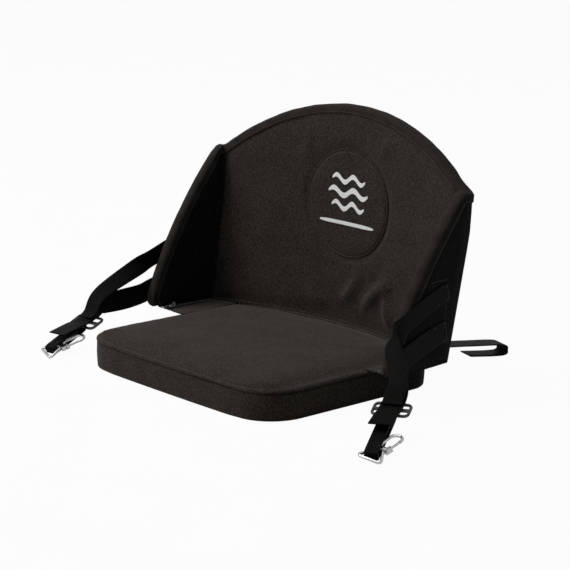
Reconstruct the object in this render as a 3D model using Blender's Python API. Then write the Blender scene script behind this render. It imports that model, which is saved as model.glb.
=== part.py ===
"""Kayak seat with a wrap-round backrest, side straps and snap hooks.

Metres, +Z up. The origin is the centre of the cushion's underside, and the seat faces -Y.
"""
import math

import bmesh
import bpy
from mathutils import Matrix, Vector

# Clearance between neighbouring pieces
GAP = 0.0003

# Cushion
CUSHION_WIDTH = 0.400
CUSHION_FRONT = 0.165
CUSHION_EDGE = 0.0414
CUSHION_CROWN = 0.011
CUSHION_SLOPE = 0.018
FRONT_RADIUS = 0.059
FRONT_BULGE = 0.003
REAR_RADIUS = 0.030
RIM_WIDTH = 0.008
CROWN_MARGIN = 0.003
BASE_THICKNESS = 0.0016
BASE_MARGIN = 0.004

# Backrest
BACK_REACH = 0.153
BACK_RECLINE = 0.050
BACK_HEIGHT = 0.349
CREASE_HEIGHT = 0.267
CREASE_WIDTH_TOP = 0.484
CREASE_WIDTH_FOOT = 0.468
HOLLOW_TOP = 0.031
HOLLOW_FOOT = 0.052
HOLLOW_LEVEL = 0.215
PANEL_THICKNESS = 0.014
FOOT_LIFT = 0.0036

# Side wings
WING_SPREAD = 0.486
WING_FRONT = -0.006
WING_BOW = 0.015
WING_TIP = 0.007
WING_CORNER = 0.018

# Edge binding
BINDING_THICKNESS = 0.0012
BINDING_FLANGE = 0.009
BINDING_ROUND = 0.0026
BINDING_CLEARANCE = 0.0008

# Round patch on the backrest
PATCH_WIDTH = 0.166
PATCH_HEIGHT = 0.154
PATCH_LEVEL = 0.215
PATCH_THICKNESS = 0.0026
PATCH_HEM = 0.0009

# Zip
TAPE_THICKNESS = 0.0015
CHAIN_WIDTH = 0.005
CHAIN_THICKNESS = 0.0018
CHAIN_LENGTH = 0.076
CHAIN_PITCH = 0.004
SLIDER_LENGTH = 0.012
SLIDER_WALL = 0.0012
SLIDER_START = 0.006
BAIL_WIRE = 0.0012
BAIL_RISE = 0.0036
PULL_DROOP = math.radians(9)
PULL_LENGTH = 0.020
PULL_WIDTH = 0.0050
PULL_THICKNESS = 0.0012

# Webbing
WEB_WIDTH = 0.030
WEB_THICKNESS = 0.0017
LOOP_WIDTH = 0.018
ADJUSTER_SHARE = 0.85
TAIL_LENGTH = 0.058
TAIL_LIFT = 0.010
STRAP_PLAY = 0.002
SIDE_FALL = 0.022
ADJUSTER_FALL = 0.030
TAB_LENGTH = 0.034
TAB_MARGIN = 0.004
TAB_THICKNESS = 0.0016
TAB_CLEARANCE = 0.0004

# Tri-glide buckle
GLIDE_HEIGHT = 0.046
GLIDE_LENGTH = 0.026
GLIDE_BAR = 0.0042
GLIDE_RADIUS = 0.006

# Snap hook
HOOK_WIRE = 0.0040
EYE_WIDTH = 0.032
EYE_LENGTH = 0.022
EYE_RADIUS = 0.003
EYE_SHIFT = 0.0023
HOOK_TURN = -math.radians(25)
NECK_WIDTH = 0.008
NECK_LENGTH = 0.006
LOOP_SEAT = 0.35
LOOP_PLAY = 0.0018
BOW_WIDTH = 0.016
BOW_LENGTH = 0.038
GATE_WIRE = 0.0032
GATE_EYE = 0.0026
EAR_THICKNESS = 0.0012
NOSE_LENGTH = 0.003
NOSE_GAP = 0.0004
PIN_WIRE = 0.0014
PIN_HEAD = 0.0008

# Rear pouch and straps
POUCH_WIDTH = 0.400
POUCH_LOW = 0.078
POUCH_HIGH = 0.225
POUCH_DEPTH = 0.034
POUCH_HEM = 0.0025
POUCH_CLEARANCE = 0.0006
FLAP_RISE = 0.016
FLAP_DROP = 0.055
FLAP_MARGIN = 0.006
FLAP_PLAY = 0.0032
FLAP_THICKNESS = 0.0022
REAR_STRAP_PLACE = 0.165
REAR_STRAP_LENGTH = 0.115
REAR_STRAP_FALL = 0.024
REAR_FOLD = 0.014
REAR_PLAY = 0.0014
REAR_STRAP_RISE = 0.012
REAR_SEAM = 0.016
REAR_BEND = 0.014

# Values worked out from the sizes above
HALF_WIDTH = CUSHION_WIDTH / 2
FOOT = CUSHION_EDGE + FOOT_LIFT
SIDES = (("left", -1), ("right", 1))


def material(name, color, roughness, metallic=0.0):
    made = bpy.data.materials.get(name) or bpy.data.materials.new(name)
    made.use_nodes = True
    shader = made.node_tree.nodes["Principled BSDF"]
    shader.inputs["Base Color"].default_value = (*color, 1.0)
    shader.inputs["Roughness"].default_value = roughness
    shader.inputs["Metallic"].default_value = metallic
    return made


def heather():
    return material("heather_fabric", (0.030, 0.027, 0.025), 0.92)


def black_fabric():
    return material("black_fabric", (0.010, 0.010, 0.010), 0.90)


def webbing():
    return material("black_webbing", (0.016, 0.015, 0.014), 0.75)


def plastic():
    return material("black_plastic", (0.012, 0.012, 0.012), 0.45)


def steel():
    return material("chromed_steel", (0.75, 0.75, 0.76), 0.12, 1.0)


def face_outwards(bm):
    bmesh.ops.recalc_face_normals(bm, faces=bm.faces)
    if bm.calc_volume(signed=True) < 0:
        bmesh.ops.reverse_faces(bm, faces=bm.faces)


def finish(name, bm, look, smooth=True):
    """Turns a bmesh into a named object of the seat."""
    face_outwards(bm)
    mesh = bpy.data.meshes.new(name)
    bm.to_mesh(mesh)
    bm.free()
    if smooth:
        mesh.shade_smooth()
        mesh.set_sharp_from_angle(angle=math.radians(40))
    mesh.materials.append(look)
    made = bpy.data.objects.new(name, mesh)
    bpy.data.collections["kayak_seat"].objects.link(made)
    return made


def slab(name, columns, rows, inner, outer, look):
    """A closed sheet between two surfaces, each a function of (u, v) from 0 to 1."""
    bm = bmesh.new()
    bmesh.ops.create_grid(bm, x_segments=columns, y_segments=rows, size=0.5)
    places = {vert: (vert.co.x + 0.5, vert.co.y + 0.5) for vert in bm.verts}
    raised = bmesh.ops.extrude_face_region(bm, geom=bm.faces[:])["geom"]
    tops = [item for item in raised if isinstance(item, bmesh.types.BMVert)]
    for vert in tops:
        vert.co = outer(vert.co.x + 0.5, vert.co.y + 0.5)
    for vert, (u, v) in places.items():
        vert.co = inner(u, v)
    return finish(name, bm, look)


def loops_solid(name, rings, look):
    """A closed solid through a stack of rings that have as many points each."""
    bm = bmesh.new()
    edges = []
    for ring in rings:
        verts = [bm.verts.new(point) for point in ring]
        edges.append([bm.edges.new((verts[i - 1], verts[i])) for i in range(len(verts))])
    for low, high in zip(edges, edges[1:]):
        bmesh.ops.bridge_loops(bm, edges=low + high)
    for end in (edges[0], edges[-1]):
        bmesh.ops.contextual_create(bm, geom=end)
    return finish(name, bm, look)


def smooth_path(points, t):
    """A point of the Catmull-Rom curve through the given points, t from 0 to 1."""
    spans = len(points) - 1
    span = min(int(t * spans), spans - 1)
    f = t * spans - span
    a = points[max(span - 1, 0)]
    b, c = points[span], points[span + 1]
    d = points[min(span + 2, spans)]
    return (b * 2 + (c - a) * f + (a * 2 - b * 5 + c * 4 - d) * f**2
            + (b * 3 - a - c * 3 + d) * f**3) / 2


def band(name, points, across, width, columns, look, thickness=WEB_THICKNESS):
    """Flat webbing along a smooth path; across gives its width direction at each point."""
    def middle(u):
        return smooth_path(points, u)

    def frame(u):
        step = 0.002
        along = (middle(min(u + step, 1)) - middle(max(u - step, 0))).normalized()
        side = smooth_path(across, u)
        side = (side - along * side.dot(along)).normalized()
        return side, along.cross(side)

    def face(offset):
        def place(u, v):
            side, up = frame(u)
            return middle(u) + side * (v - 0.5) * width + up * offset
        return place
    return slab(name, columns, 1, face(-thickness / 2), face(thickness / 2), look)


def box(bm, size, centre):
    """Adds a block to a bmesh and returns its vertices."""
    made = bmesh.ops.create_cube(bm, size=1.0)["verts"]
    bmesh.ops.scale(bm, vec=size, verts=made)
    bmesh.ops.translate(bm, vec=centre, verts=made)
    return made


# Shape of the backrest and the wings

def crease_half(z):
    """Half the distance between the two creases at a height."""
    rise = (z - FOOT) / (CREASE_HEIGHT - FOOT)
    return (CREASE_WIDTH_FOOT + (CREASE_WIDTH_TOP - CREASE_WIDTH_FOOT) * rise) / 2


def hollow(z):
    """How far the creases stand in front of the middle of the backrest."""
    rise = min(max((z - FOOT) / (HOLLOW_LEVEL - FOOT), 0.0), 1.0)
    return HOLLOW_FOOT + (HOLLOW_TOP - HOLLOW_FOOT) * rise


def back_face(x, z):
    """A point of the backrest's front face."""
    middle = BACK_REACH + BACK_RECLINE * (z - FOOT)
    return Vector((x, middle - hollow(z) * (x / crease_half(z)) ** 2, z))


def top_edge(x):
    """Height of the backrest's round top, a circular arc over the two creases."""
    half = CREASE_WIDTH_TOP / 2
    rise = BACK_HEIGHT - CREASE_HEIGHT
    radius = (half**2 + rise**2) / (2 * rise)
    return BACK_HEIGHT - radius + math.sqrt(radius**2 - x**2)


def back_place(u, v):
    """Front face of the backrest for u across and v up."""
    across = 2 * u - 1
    z = FOOT + v * (top_edge(across * CREASE_WIDTH_TOP / 2) - FOOT)
    return back_face(across * crease_half(min(z, CREASE_HEIGHT)), z)


def wing_edge(z):
    """How far back a wing's front edge lies at a height: a bow with a round foot."""
    rise = z - FOOT
    v = rise / (CREASE_HEIGHT - FOOT)
    top = back_face(crease_half(CREASE_HEIGHT), CREASE_HEIGHT).y - WING_TIP
    y = WING_FRONT + (top - WING_FRONT) * v - WING_BOW * 4 * v * (1 - v)
    if rise < WING_CORNER:
        y += WING_CORNER - math.sqrt(WING_CORNER**2 - (WING_CORNER - rise) ** 2)
    return y


def wing_place(side):
    """Inner face of a wing: u runs from the crease to the front edge, v up."""
    def place(u, v):
        z = FOOT + v * (CREASE_HEIGHT - FOOT)
        crease = back_face(side * crease_half(z), z)
        return crease.lerp(Vector((side * WING_SPREAD / 2, wing_edge(z), z)), u)
    return place


def normal(place, u, v, away):
    """Unit normal of a surface, turned to the side that a direction points to."""
    step = 0.01
    du = place(min(u + step, 1), v) - place(max(u - step, 0), v)
    dv = place(u, min(v + step, 1)) - place(u, max(v - step, 0))
    made = du.cross(dv).normalized()
    return made if made.dot(away) > 0 else -made


def back_normal(u, v):
    return normal(back_place, u, v, Vector((0, 1, 0)))


def wing_normal(side, u, v):
    return normal(wing_place(side), u, v, Vector((side, 0, 0)))


def crease_mitre(side, v):
    """Outward mitre at a crease and the direction across it, towards the backrest."""
    back = back_normal((side + 1) / 2, v)
    wing = wing_normal(side, 0, v)
    out = (back + wing).normalized()
    return out * PANEL_THICKNESS / out.dot(back), (back - wing).normalized()


def spaced(v):
    """Rows that stand closer together at the foot, where the wing's corner is round."""
    return v**1.6


def levelled(point, v):
    """Puts the foot of a panel's point on the level of the foot."""
    if v == 0.0:
        point.z = FOOT
    return point


def back_point(u, v, outside):
    """A point of the backrest, inside or outside, with mitred ends at the creases."""
    point = back_place(u, v)
    if u in (0.0, 1.0):
        out, inward = crease_mitre(2 * u - 1, v)
        point += inward * GAP * 0.6 + (out if outside else Vector())
    elif outside:
        point += back_normal(u, v) * PANEL_THICKNESS
    return levelled(point, v)


def wing_point(side, u, v, outside):
    """A point of a wing, inside or outside, mitred at the crease."""
    point = wing_place(side)(u, v)
    if u == 0.0:
        out, inward = crease_mitre(side, v)
        point += (out if outside else Vector()) - inward * GAP * 0.6
    elif outside:
        point += wing_normal(side, u, v) * PANEL_THICKNESS
    return levelled(point, v)


BACK_COLUMNS = 28
WING_COLUMNS = 5
PANEL_ROWS = 14


def snapped(value, steps):
    """A grid's own fraction, free of rounding."""
    return round(value * steps) / steps


def backrest():
    def face(outside):
        def place(u, v):
            return back_point(snapped(u, BACK_COLUMNS), spaced(snapped(v, PANEL_ROWS)), outside)
        return place
    slab("backrest_panel", BACK_COLUMNS, PANEL_ROWS, face(False), face(True), heather())


def wing(label, side):
    def face(outside):
        def place(u, v):
            return wing_point(side, snapped(u, WING_COLUMNS), spaced(snapped(v, PANEL_ROWS)), outside)
        return place
    slab(label + "_wing", WING_COLUMNS, PANEL_ROWS, face(False), face(True), black_fabric())


def edge_stations():
    """Points of the free edge from one wing's foot to the other's, inside and outside."""
    stations = []
    for row in range(1, PANEL_ROWS + 1):
        v = spaced(row / PANEL_ROWS)
        stations.append((wing_point(-1, 1.0, v, False), wing_point(-1, 1.0, v, True)))
    for column in range(BACK_COLUMNS + 1):
        u = column / BACK_COLUMNS
        stations.append((back_point(u, 1.0, False), back_point(u, 1.0, True)))
    for row in range(PANEL_ROWS, 0, -1):
        v = spaced(row / PANEL_ROWS)
        stations.append((wing_point(1, 1.0, v, False), wing_point(1, 1.0, v, True)))
    return stations


def crease_rise(left):
    """Direction of a crease at its top, which both panels share."""
    u = 0.0 if left else 1.0
    return (back_place(u, 1.0) - back_place(u, 0.9)).normalized()


def edge_binding():
    """Tape folded over the free edge, with a round nose and a flange on each face."""
    stations = edge_stations()
    last = len(stations) - 1
    frames = []
    for i, (inside, outside) in enumerate(stations):
        before, after = stations[max(i - 1, 0)][0], stations[min(i + 1, last)][0]
        through = (outside - inside).normalized()
        out = (after - before).cross(through).normalized()
        if min(i, last - i) in (PANEL_ROWS - 1, PANEL_ROWS):
            out = crease_rise(i <= PANEL_ROWS)
        frames.append((inside, outside, through, out))
    clear = BINDING_CLEARANCE
    full = clear + BINDING_THICKNESS
    nose = BINDING_ROUND
    tape = BINDING_THICKNESS
    lining = ((0, -clear, -BINDING_FLANGE), (0, -clear, clear), (0.3, 0, nose), (0.7, 0, nose),
              (1, clear, clear), (1, clear, -BINDING_FLANGE))
    skin = ((0, -full, -BINDING_FLANGE), (0, -full, clear), (0.2, 0, nose + tape),
            (0.8, 0, nose + tape), (1, full, clear), (1, full, -BINDING_FLANGE))

    def face(profile):
        def place(u, v):
            inside, outside, through, out = frames[round(u * last)]
            share, depth, reach = profile[round(v * (len(profile) - 1))]
            return inside.lerp(outside, share) + through * depth + out * reach
        return place
    slab("edge_binding", last, len(lining) - 1, face(lining), face(skin), black_fabric())


def round_patch():
    """Padded round patch sewn to the backrest, with a thin hem."""
    bm = bmesh.new()
    bmesh.ops.create_circle(bm, cap_ends=True, segments=40, radius=1.0)
    for inset in (0.06, 0.06, 0.12, 0.30):
        bmesh.ops.inset_region(bm, faces=[max(bm.faces, key=lambda face: len(face.verts))], thickness=inset)
    raised = bmesh.ops.extrude_face_region(bm, geom=bm.faces[:])["geom"]
    tops = {item for item in raised if isinstance(item, bmesh.types.BMVert)}
    for vert in bm.verts:
        radius = min(vert.co.length, 1.0)
        x = vert.co.x * PATCH_WIDTH / 2
        z = PATCH_LEVEL + vert.co.y * PATCH_HEIGHT / 2
        height = GAP
        if vert in tops:
            height += PATCH_HEM + (PATCH_THICKNESS - PATCH_HEM) * min((1 - radius) / 0.2, 1.0)
        u = x / CREASE_WIDTH_TOP + 0.5
        v = (z - FOOT) / (top_edge(x) - FOOT)
        vert.co = back_face(x, z) - back_normal(u, v) * (height + GAP)
    finish("round_patch", bm, heather())


# Cushion and zip

def foot_line(x):
    """Front face of the backrest at its foot, carried on past the creases."""
    return back_face(x, FOOT).y


def cushion_outline(inset):
    """The cushion seen from above, drawn in towards its middle by an inset."""
    half = HALF_WIDTH
    points = []
    for i in range(8):
        t = i / 8
        x = t * (half - FRONT_RADIUS)
        points.append((x, -CUSHION_FRONT + FRONT_BULGE * (x / half) ** 2))
    start = -CUSHION_FRONT + FRONT_BULGE
    for i in range(10):
        angle = math.pi / 2 * i / 9
        points.append((half - FRONT_RADIUS * (1 - math.sin(angle)),
                       start + FRONT_RADIUS * (1 - math.cos(angle))))
    rear = foot_line(half) + PANEL_THICKNESS
    for i in range(1, 4):
        points.append((half, start + FRONT_RADIUS + (rear - REAR_RADIUS - start - FRONT_RADIUS) * i / 4))
    for i in range(6):
        angle = math.pi / 2 * i / 5
        x = half - REAR_RADIUS * (1 - math.cos(angle))
        corner = rear - REAR_RADIUS * (1 - math.sin(angle))
        points.append((x, corner + (foot_line(x) - foot_line(half)) * math.sin(angle)))
    for i in range(1, 9):
        x = (half - REAR_RADIUS) * (1 - i / 8)
        points.append((x, foot_line(x) + PANEL_THICKNESS))
    middle = (points[0][1] + points[-1][1]) / 2
    depth = (points[-1][1] - points[0][1]) / 2
    mirrored = [(-x, y) for x, y in points[-2:0:-1]]
    return [(x * (1 - inset / half), middle + (y - middle) * (1 - inset / depth))
            for x, y in points + mirrored]


def crown(x, y):
    """Height of the cushion's top: flat along the seam and rising inside it."""
    side = HALF_WIDTH - RIM_WIDTH - CROWN_MARGIN - abs(x)
    rear = foot_line(x) - RIM_WIDTH - CROWN_MARGIN - y
    front = y + CUSHION_FRONT - RIM_WIDTH / 2
    reach = min(side, rear, front)
    if reach <= 0:
        return CUSHION_EDGE
    return CUSHION_EDGE + CUSHION_CROWN * (1 - math.exp(-reach / CUSHION_SLOPE))


def ring(inset, height):
    return [Vector((x, y, height)) for x, y in cushion_outline(inset)]


def cushion():
    low = BASE_THICKNESS + GAP
    rings = [ring(0.004, low), ring(0.001, low + 0.0015), ring(0, low + 0.005),
             ring(0, CUSHION_EDGE - 0.005), ring(0.0008, CUSHION_EDGE - 0.0015),
             ring(0.003, CUSHION_EDGE)]
    for inset in (0.008, 0.014, 0.022, 0.032, 0.048, 0.070, 0.100, 0.140):
        rings.append([Vector((x, y, crown(x, y))) for x, y in cushion_outline(inset)])
    level = sum(point.z for point in rings[-1]) / len(rings[-1])
    for point in rings[-1]:
        point.z = level
    loops_solid("seat_cushion", rings, heather())


def base_panel():
    rings = [ring(BASE_MARGIN, 0), ring(BASE_MARGIN, BASE_THICKNESS)]
    loops_solid("base_panel", rings, black_fabric())


def tape_place(edge, height):
    """A long edge of the zip tape: 0 is sewn to the cushion, 1 lies under the panels."""
    inner_half = HALF_WIDTH - RIM_WIDTH + GAP

    def line(t):
        side = -1 if t < 0.5 else 1
        far = abs(2 * t - 1)
        crease = crease_half(FOOT)
        front = WING_FRONT + WING_CORNER
        rear = foot_line(crease)
        if far > 0.5:
            run = far * 2 - 1
            outer = crease + (WING_SPREAD / 2 - crease) * run + PANEL_THICKNESS / 2
            x = inner_half + (outer - inner_half) * edge
            return Vector((side * x, rear + (front - rear) * run, height))
        run = far * 2
        x = (inner_half + (crease + PANEL_THICKNESS / 2 - inner_half) * edge) * run
        depth = -RIM_WIDTH + GAP + (PANEL_THICKNESS / 2 + RIM_WIDTH) * edge
        y = foot_line(min(x, crease)) + depth * (1 - run**4)
        return Vector((side * x, y, height))
    return line


def zip_tape():
    """One tape from wing to wing round the foot of the backrest."""
    low = CUSHION_EDGE + GAP
    high = FOOT - GAP - TAPE_THICKNESS

    def face(lift):
        sewn, free = tape_place(0, low + lift), tape_place(1, high + lift)

        def place(u, v):
            return sewn(u).lerp(free(u), v)
        return place
    slab("zip_tape", 40, 2, face(0), face(TAPE_THICKNESS), webbing())


def chain_centre(side):
    """Where the zip's chain starts, on the tape between the cushion and a wing."""
    share = 0.62
    sewn, outer = HALF_WIDTH - RIM_WIDTH, WING_SPREAD / 2 + PANEL_THICKNESS / 2
    x = sewn + (outer - sewn) * share
    z = CUSHION_EDGE + TAPE_THICKNESS + (FOOT_LIFT - TAPE_THICKNESS) * share + 2 * GAP
    return Vector((side * x, WING_FRONT + WING_CORNER, z))


def zip_chain(label, side):
    """Toothed chain: a low spine with a tooth across it at every pitch."""
    bm = bmesh.new()
    start = chain_centre(side)
    height = CHAIN_THICKNESS / 2
    box(bm, (CHAIN_WIDTH / 2, CHAIN_LENGTH, height), start + Vector((0, CHAIN_LENGTH / 2, height / 2)))
    spine = finish(label + "_zip_chain", bm, plastic(), smooth=False)
    bm = bmesh.new()
    for i in range(round(CHAIN_LENGTH / CHAIN_PITCH) - 1):
        y = CHAIN_PITCH * (i + 1)
        box(bm, (CHAIN_WIDTH, CHAIN_PITCH / 2, CHAIN_THICKNESS), start + Vector((0, y, CHAIN_THICKNESS / 2)))
    union(spine, bm)


def union(target, bm):
    """Joins a bmesh's closed shapes to an object through a Boolean."""
    mesh = bpy.data.meshes.new(target.name + "_added")
    face_outwards(bm)
    bm.to_mesh(mesh)
    bm.free()
    tool = bpy.data.objects.new(target.name + "_added", mesh)
    tool.hide_render = True
    tool.display_type = "WIRE"
    bpy.data.collections["cutters"].objects.link(tool)
    step = target.modifiers.new("joined", "BOOLEAN")
    step.operation = "UNION"
    step.object = tool
    step.use_self = True


def tube(name, splines, wire, look, resolution=2):
    """Round wire along one or more runs of points, as a mesh."""
    curve = bpy.data.curves.new(name, "CURVE")
    curve.dimensions = "3D"
    curve.bevel_depth = wire / 2
    curve.bevel_resolution = resolution
    curve.use_fill_caps = True
    for points, closed in splines:
        spline = curve.splines.new("POLY")
        spline.points.add(len(points) - 1)
        for item, point in zip(spline.points, points):
            item.co = (*point, 1.0)
        spline.use_cyclic_u = closed
    holder = bpy.data.objects.new(name + "_curve", curve)
    bpy.data.collections["kayak_seat"].objects.link(holder)
    graph = bpy.context.evaluated_depsgraph_get()
    mesh = bpy.data.meshes.new_from_object(holder.evaluated_get(graph))
    bpy.data.objects.remove(holder)
    bm = bmesh.new()
    bm.from_mesh(mesh)
    bmesh.ops.remove_doubles(bm, verts=bm.verts, dist=0.00001)
    bpy.data.meshes.remove(mesh)
    return finish(name, bm, look)


def zip_slider(label, side):
    """Slider body that straddles the chain, with a bail for the pull."""
    start = chain_centre(side)
    centre = start + Vector((0, SLIDER_START + SLIDER_LENGTH / 2, 0))
    width = CHAIN_WIDTH + 2 * GAP + 2 * SLIDER_WALL
    roof = CHAIN_THICKNESS + GAP
    bm = bmesh.new()
    box(bm, (width, SLIDER_LENGTH, SLIDER_WALL), centre + Vector((0, 0, roof + SLIDER_WALL / 2)))
    body = finish(label + "_zip_slider", bm, steel(), smooth=False)
    bm = bmesh.new()
    for across in (-1, 1):
        x = across * (width - SLIDER_WALL) / 2
        box(bm, (SLIDER_WALL, SLIDER_LENGTH * 0.9, roof + SLIDER_WALL / 2),
            centre + Vector((x, 0, (roof + SLIDER_WALL / 2) / 2)))
        box(bm, (BAIL_WIRE, BAIL_WIRE, BAIL_RISE + SLIDER_WALL / 2),
            centre + Vector((across * (PULL_WIDTH + BAIL_WIRE + 2 * GAP) / 2, 0,
                             roof + SLIDER_WALL / 2 + (BAIL_RISE + SLIDER_WALL / 2) / 2)))
    box(bm, (PULL_WIDTH + 2 * BAIL_WIRE + 2 * GAP, BAIL_WIRE, BAIL_WIRE),
        centre + Vector((0, 0, roof + SLIDER_WALL + BAIL_RISE - BAIL_WIRE / 2)))
    union(body, bm)


def bail_axis(side):
    """The point about which a zip pull turns."""
    start = chain_centre(side)
    lift = CHAIN_THICKNESS + GAP + SLIDER_WALL + BAIL_RISE - BAIL_WIRE / 2
    return start + Vector((0, SLIDER_START + SLIDER_LENGTH / 2, lift))


def zip_pull(label, side):
    """Flat tab with an eye round the bail, hanging forward over the slider."""
    axis = bail_axis(side)
    eye = BAIL_WIRE * 1.42 + 2 * GAP
    bm = bmesh.new()
    bmesh.ops.create_cone(bm, segments=16, cap_ends=True, radius1=eye / 2 + PULL_THICKNESS,
                          radius2=eye / 2 + PULL_THICKNESS, depth=PULL_WIDTH)
    bmesh.ops.rotate(bm, verts=bm.verts, matrix=Matrix.Rotation(math.pi / 2, 3, "Y"))
    body = finish(label + "_zip_pull", bm, steel())
    body.location = axis
    body.rotation_euler.x = PULL_DROOP
    tab = bmesh.new()
    near = eye / 2 + PULL_THICKNESS / 2
    box(tab, (PULL_WIDTH, PULL_LENGTH - near, PULL_THICKNESS), (0, -(PULL_LENGTH + near) / 2, 0))
    mesh_union(body, tab)
    hole = bmesh.new()
    bmesh.ops.create_cone(hole, segments=16, cap_ends=True, radius1=eye / 2, radius2=eye / 2,
                          depth=PULL_WIDTH * 2)
    bmesh.ops.rotate(hole, verts=hole.verts, matrix=Matrix.Rotation(math.pi / 2, 3, "Y"))
    carve(body, hole)


def mesh_union(target, bm):
    union(target, bm)
    tool = bpy.data.objects[target.name + "_added"]
    tool.parent = target


def carve(target, bm):
    """Cuts a bmesh's closed shape from an object, in the object's own frame."""
    mesh = bpy.data.meshes.new(target.name + "_cut")
    face_outwards(bm)
    bm.to_mesh(mesh)
    bm.free()
    tool = bpy.data.objects.new(target.name + "_cut", mesh)
    tool.hide_render = True
    tool.display_type = "WIRE"
    tool.parent = target
    bpy.data.collections["cutters"].objects.link(tool)
    step = target.modifiers.new("cut", "BOOLEAN")
    step.operation = "DIFFERENCE"
    step.object = tool


# Side straps, buckles and hooks

# Where each side's buckle and hook lie, with x counted outwards from the middle
BUCKLE_PLACE = {"left": Vector((0.275, -0.098, 0.030)), "right": Vector((0.326, -0.066, 0.030))}
HOOK_PLACE = {"left": Vector((0.262, -0.177, 0.0)), "right": Vector((0.383, -0.156, 0.0))}
STRAP_ANCHOR_Y = 0.085
STRAP_ANCHOR_Z = 0.092
ADJUSTER_ANCHOR_Z = 0.145


def outward(side, point):
    return Vector((side * point.x, point.y, point.z))


def wing_outside(side, y, z, lift):
    """A point that stands off a wing's outer face by a small lift."""
    crease = back_face(crease_half(z), z)
    share = min(max((crease.y - y) / (crease.y - wing_edge(z)), 0), 1)
    x = crease.x + (WING_SPREAD / 2 - crease.x) * share
    return Vector((side * (x + PANEL_THICKNESS * 1.01 + lift), y, z))


def reach_of(label):
    """Distance from a hook's eye to its buckle, along the hook loop."""
    return (BUCKLE_PLACE[label] - HOOK_PLACE[label]).length


def hook_turn():
    """The hook's turn in the loop's own plane, so that its bow lies beside the webbing."""
    seat = Matrix.Translation((0, EYE_LENGTH * LOOP_SEAT, 0))
    return seat @ Matrix.Rotation(HOOK_TURN, 4, "Z") @ Matrix.Translation((EYE_SHIFT, -EYE_LENGTH * 0.36, 0))


def loop_matrix(label, side):
    """Axes of a hook loop: across it, back to the buckle, and up; its hook rests on the floor."""
    hook = outward(side, HOOK_PLACE[label])
    back = (outward(side, BUCKLE_PLACE[label]) - hook).normalized()
    across = back.cross(Vector((0, 0, 1))).normalized()
    up = across.cross(back)
    flat = Matrix.Translation(hook) @ Matrix((across, back, up)).transposed().to_4x4()
    lowest = min((flat @ hook_turn() @ Vector((x, y, 0))).z for x, y in hook_outline())
    return Matrix.Translation((0, 0, HOOK_WIRE / 2 - lowest)) @ flat


def hook_matrix(label, side):
    return loop_matrix(label, side) @ hook_turn()


def anchor_patch(label, side):
    """Sewn tab on the wing's outer face where both straps start."""
    middle = (STRAP_ANCHOR_Z + ADJUSTER_ANCHOR_Z) / 2
    height = ADJUSTER_ANCHOR_Z - STRAP_ANCHOR_Z + WEB_WIDTH + 2 * TAB_MARGIN

    def face(lift):
        def place(u, v):
            return wing_outside(side, STRAP_ANCHOR_Y + (u - 0.5) * TAB_LENGTH,
                                middle + (v - 0.5) * height, TAB_CLEARANCE + lift)
        return place
    slab(label + "_anchor_patch", 4, 4, face(0), face(TAB_THICKNESS), black_fabric())


def strap_stand():
    """How far a strap's middle stands off the wing where it lies on the anchor patch."""
    return TAB_CLEARANCE + TAB_THICKNESS + 2 * GAP + WEB_THICKNESS / 2


def strap_lead(side, z, fall):
    """The part of a strap that lies on its wing, from the anchor patch past the binding."""
    over = BINDING_CLEARANCE + BINDING_THICKNESS + WEB_THICKNESS / 2 + STRAP_PLAY
    rear = STRAP_ANCHOR_Y + TAB_LENGTH / 2
    return [wing_outside(side, rear, z, strap_stand()),
            wing_outside(side, rear - TAB_LENGTH, z - fall * 0.3, max(over, strap_stand())),
            wing_outside(side, WING_FRONT + WING_CORNER * 1.2, z - fall, over + STRAP_PLAY),
            wing_outside(side, WING_FRONT - WING_CORNER * 0.3, z - fall * 1.4, over + STRAP_PLAY * 3)]


def side_strap(label, side):
    """Lower strap from the anchor patch over the buckle's near bar, with its tail beyond."""
    place = loop_matrix(label, side)
    reach = reach_of(label)
    over = GLIDE_BAR / 2 + 2 * GAP + WEB_THICKNESS / 2
    bars = GLIDE_LENGTH / 2
    lead = strap_lead(side, STRAP_ANCHOR_Z, SIDE_FALL)
    run = [place @ Vector((0, reach + bars * 2.6, over + 0.003)),
           place @ Vector((0, reach + bars, over)),
           place @ Vector((0, reach, over + WEB_THICKNESS * 0.6)),
           place @ Vector((0, reach - bars, over + WEB_THICKNESS + 2 * GAP)),
           place @ Vector((0, reach - bars * 2, over + WEB_THICKNESS + TAIL_LIFT * 0.4)),
           place @ Vector((0, reach - TAIL_LENGTH, over + WEB_THICKNESS + TAIL_LIFT))]
    level = Vector((0, 0, side))
    across = place.to_3x3() @ Vector((1, 0, 0))
    turning = (level * 0.6 + across).normalized()
    band(label + "_side_strap", lead + run, [level] * 4 + [turning] + [across] * 5,
         WEB_WIDTH, 32, webbing())


def adjuster_strap(label, side):
    """Upper strap from the anchor patch down to the buckle's far side."""
    place = loop_matrix(label, side)
    reach = reach_of(label)
    over = GLIDE_BAR / 2 + WEB_THICKNESS * 2.6 + GAP * 4
    lead = strap_lead(side, ADJUSTER_ANCHOR_Z, ADJUSTER_FALL)
    run = [place @ Vector((0, reach + GLIDE_LENGTH * 1.6, over + 0.016)),
           place @ Vector((0, reach + GLIDE_LENGTH * 0.5, over + 0.002)),
           place @ Vector((0, reach, over))]
    level = Vector((0, 0, side))
    across = place.to_3x3() @ Vector((1, 0, 0))
    turning = (level * 0.6 + across).normalized()
    band(label + "_adjuster_strap", lead + run, [level] * 3 + [turning, across, across],
         WEB_WIDTH * ADJUSTER_SHARE, 26, webbing())


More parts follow.
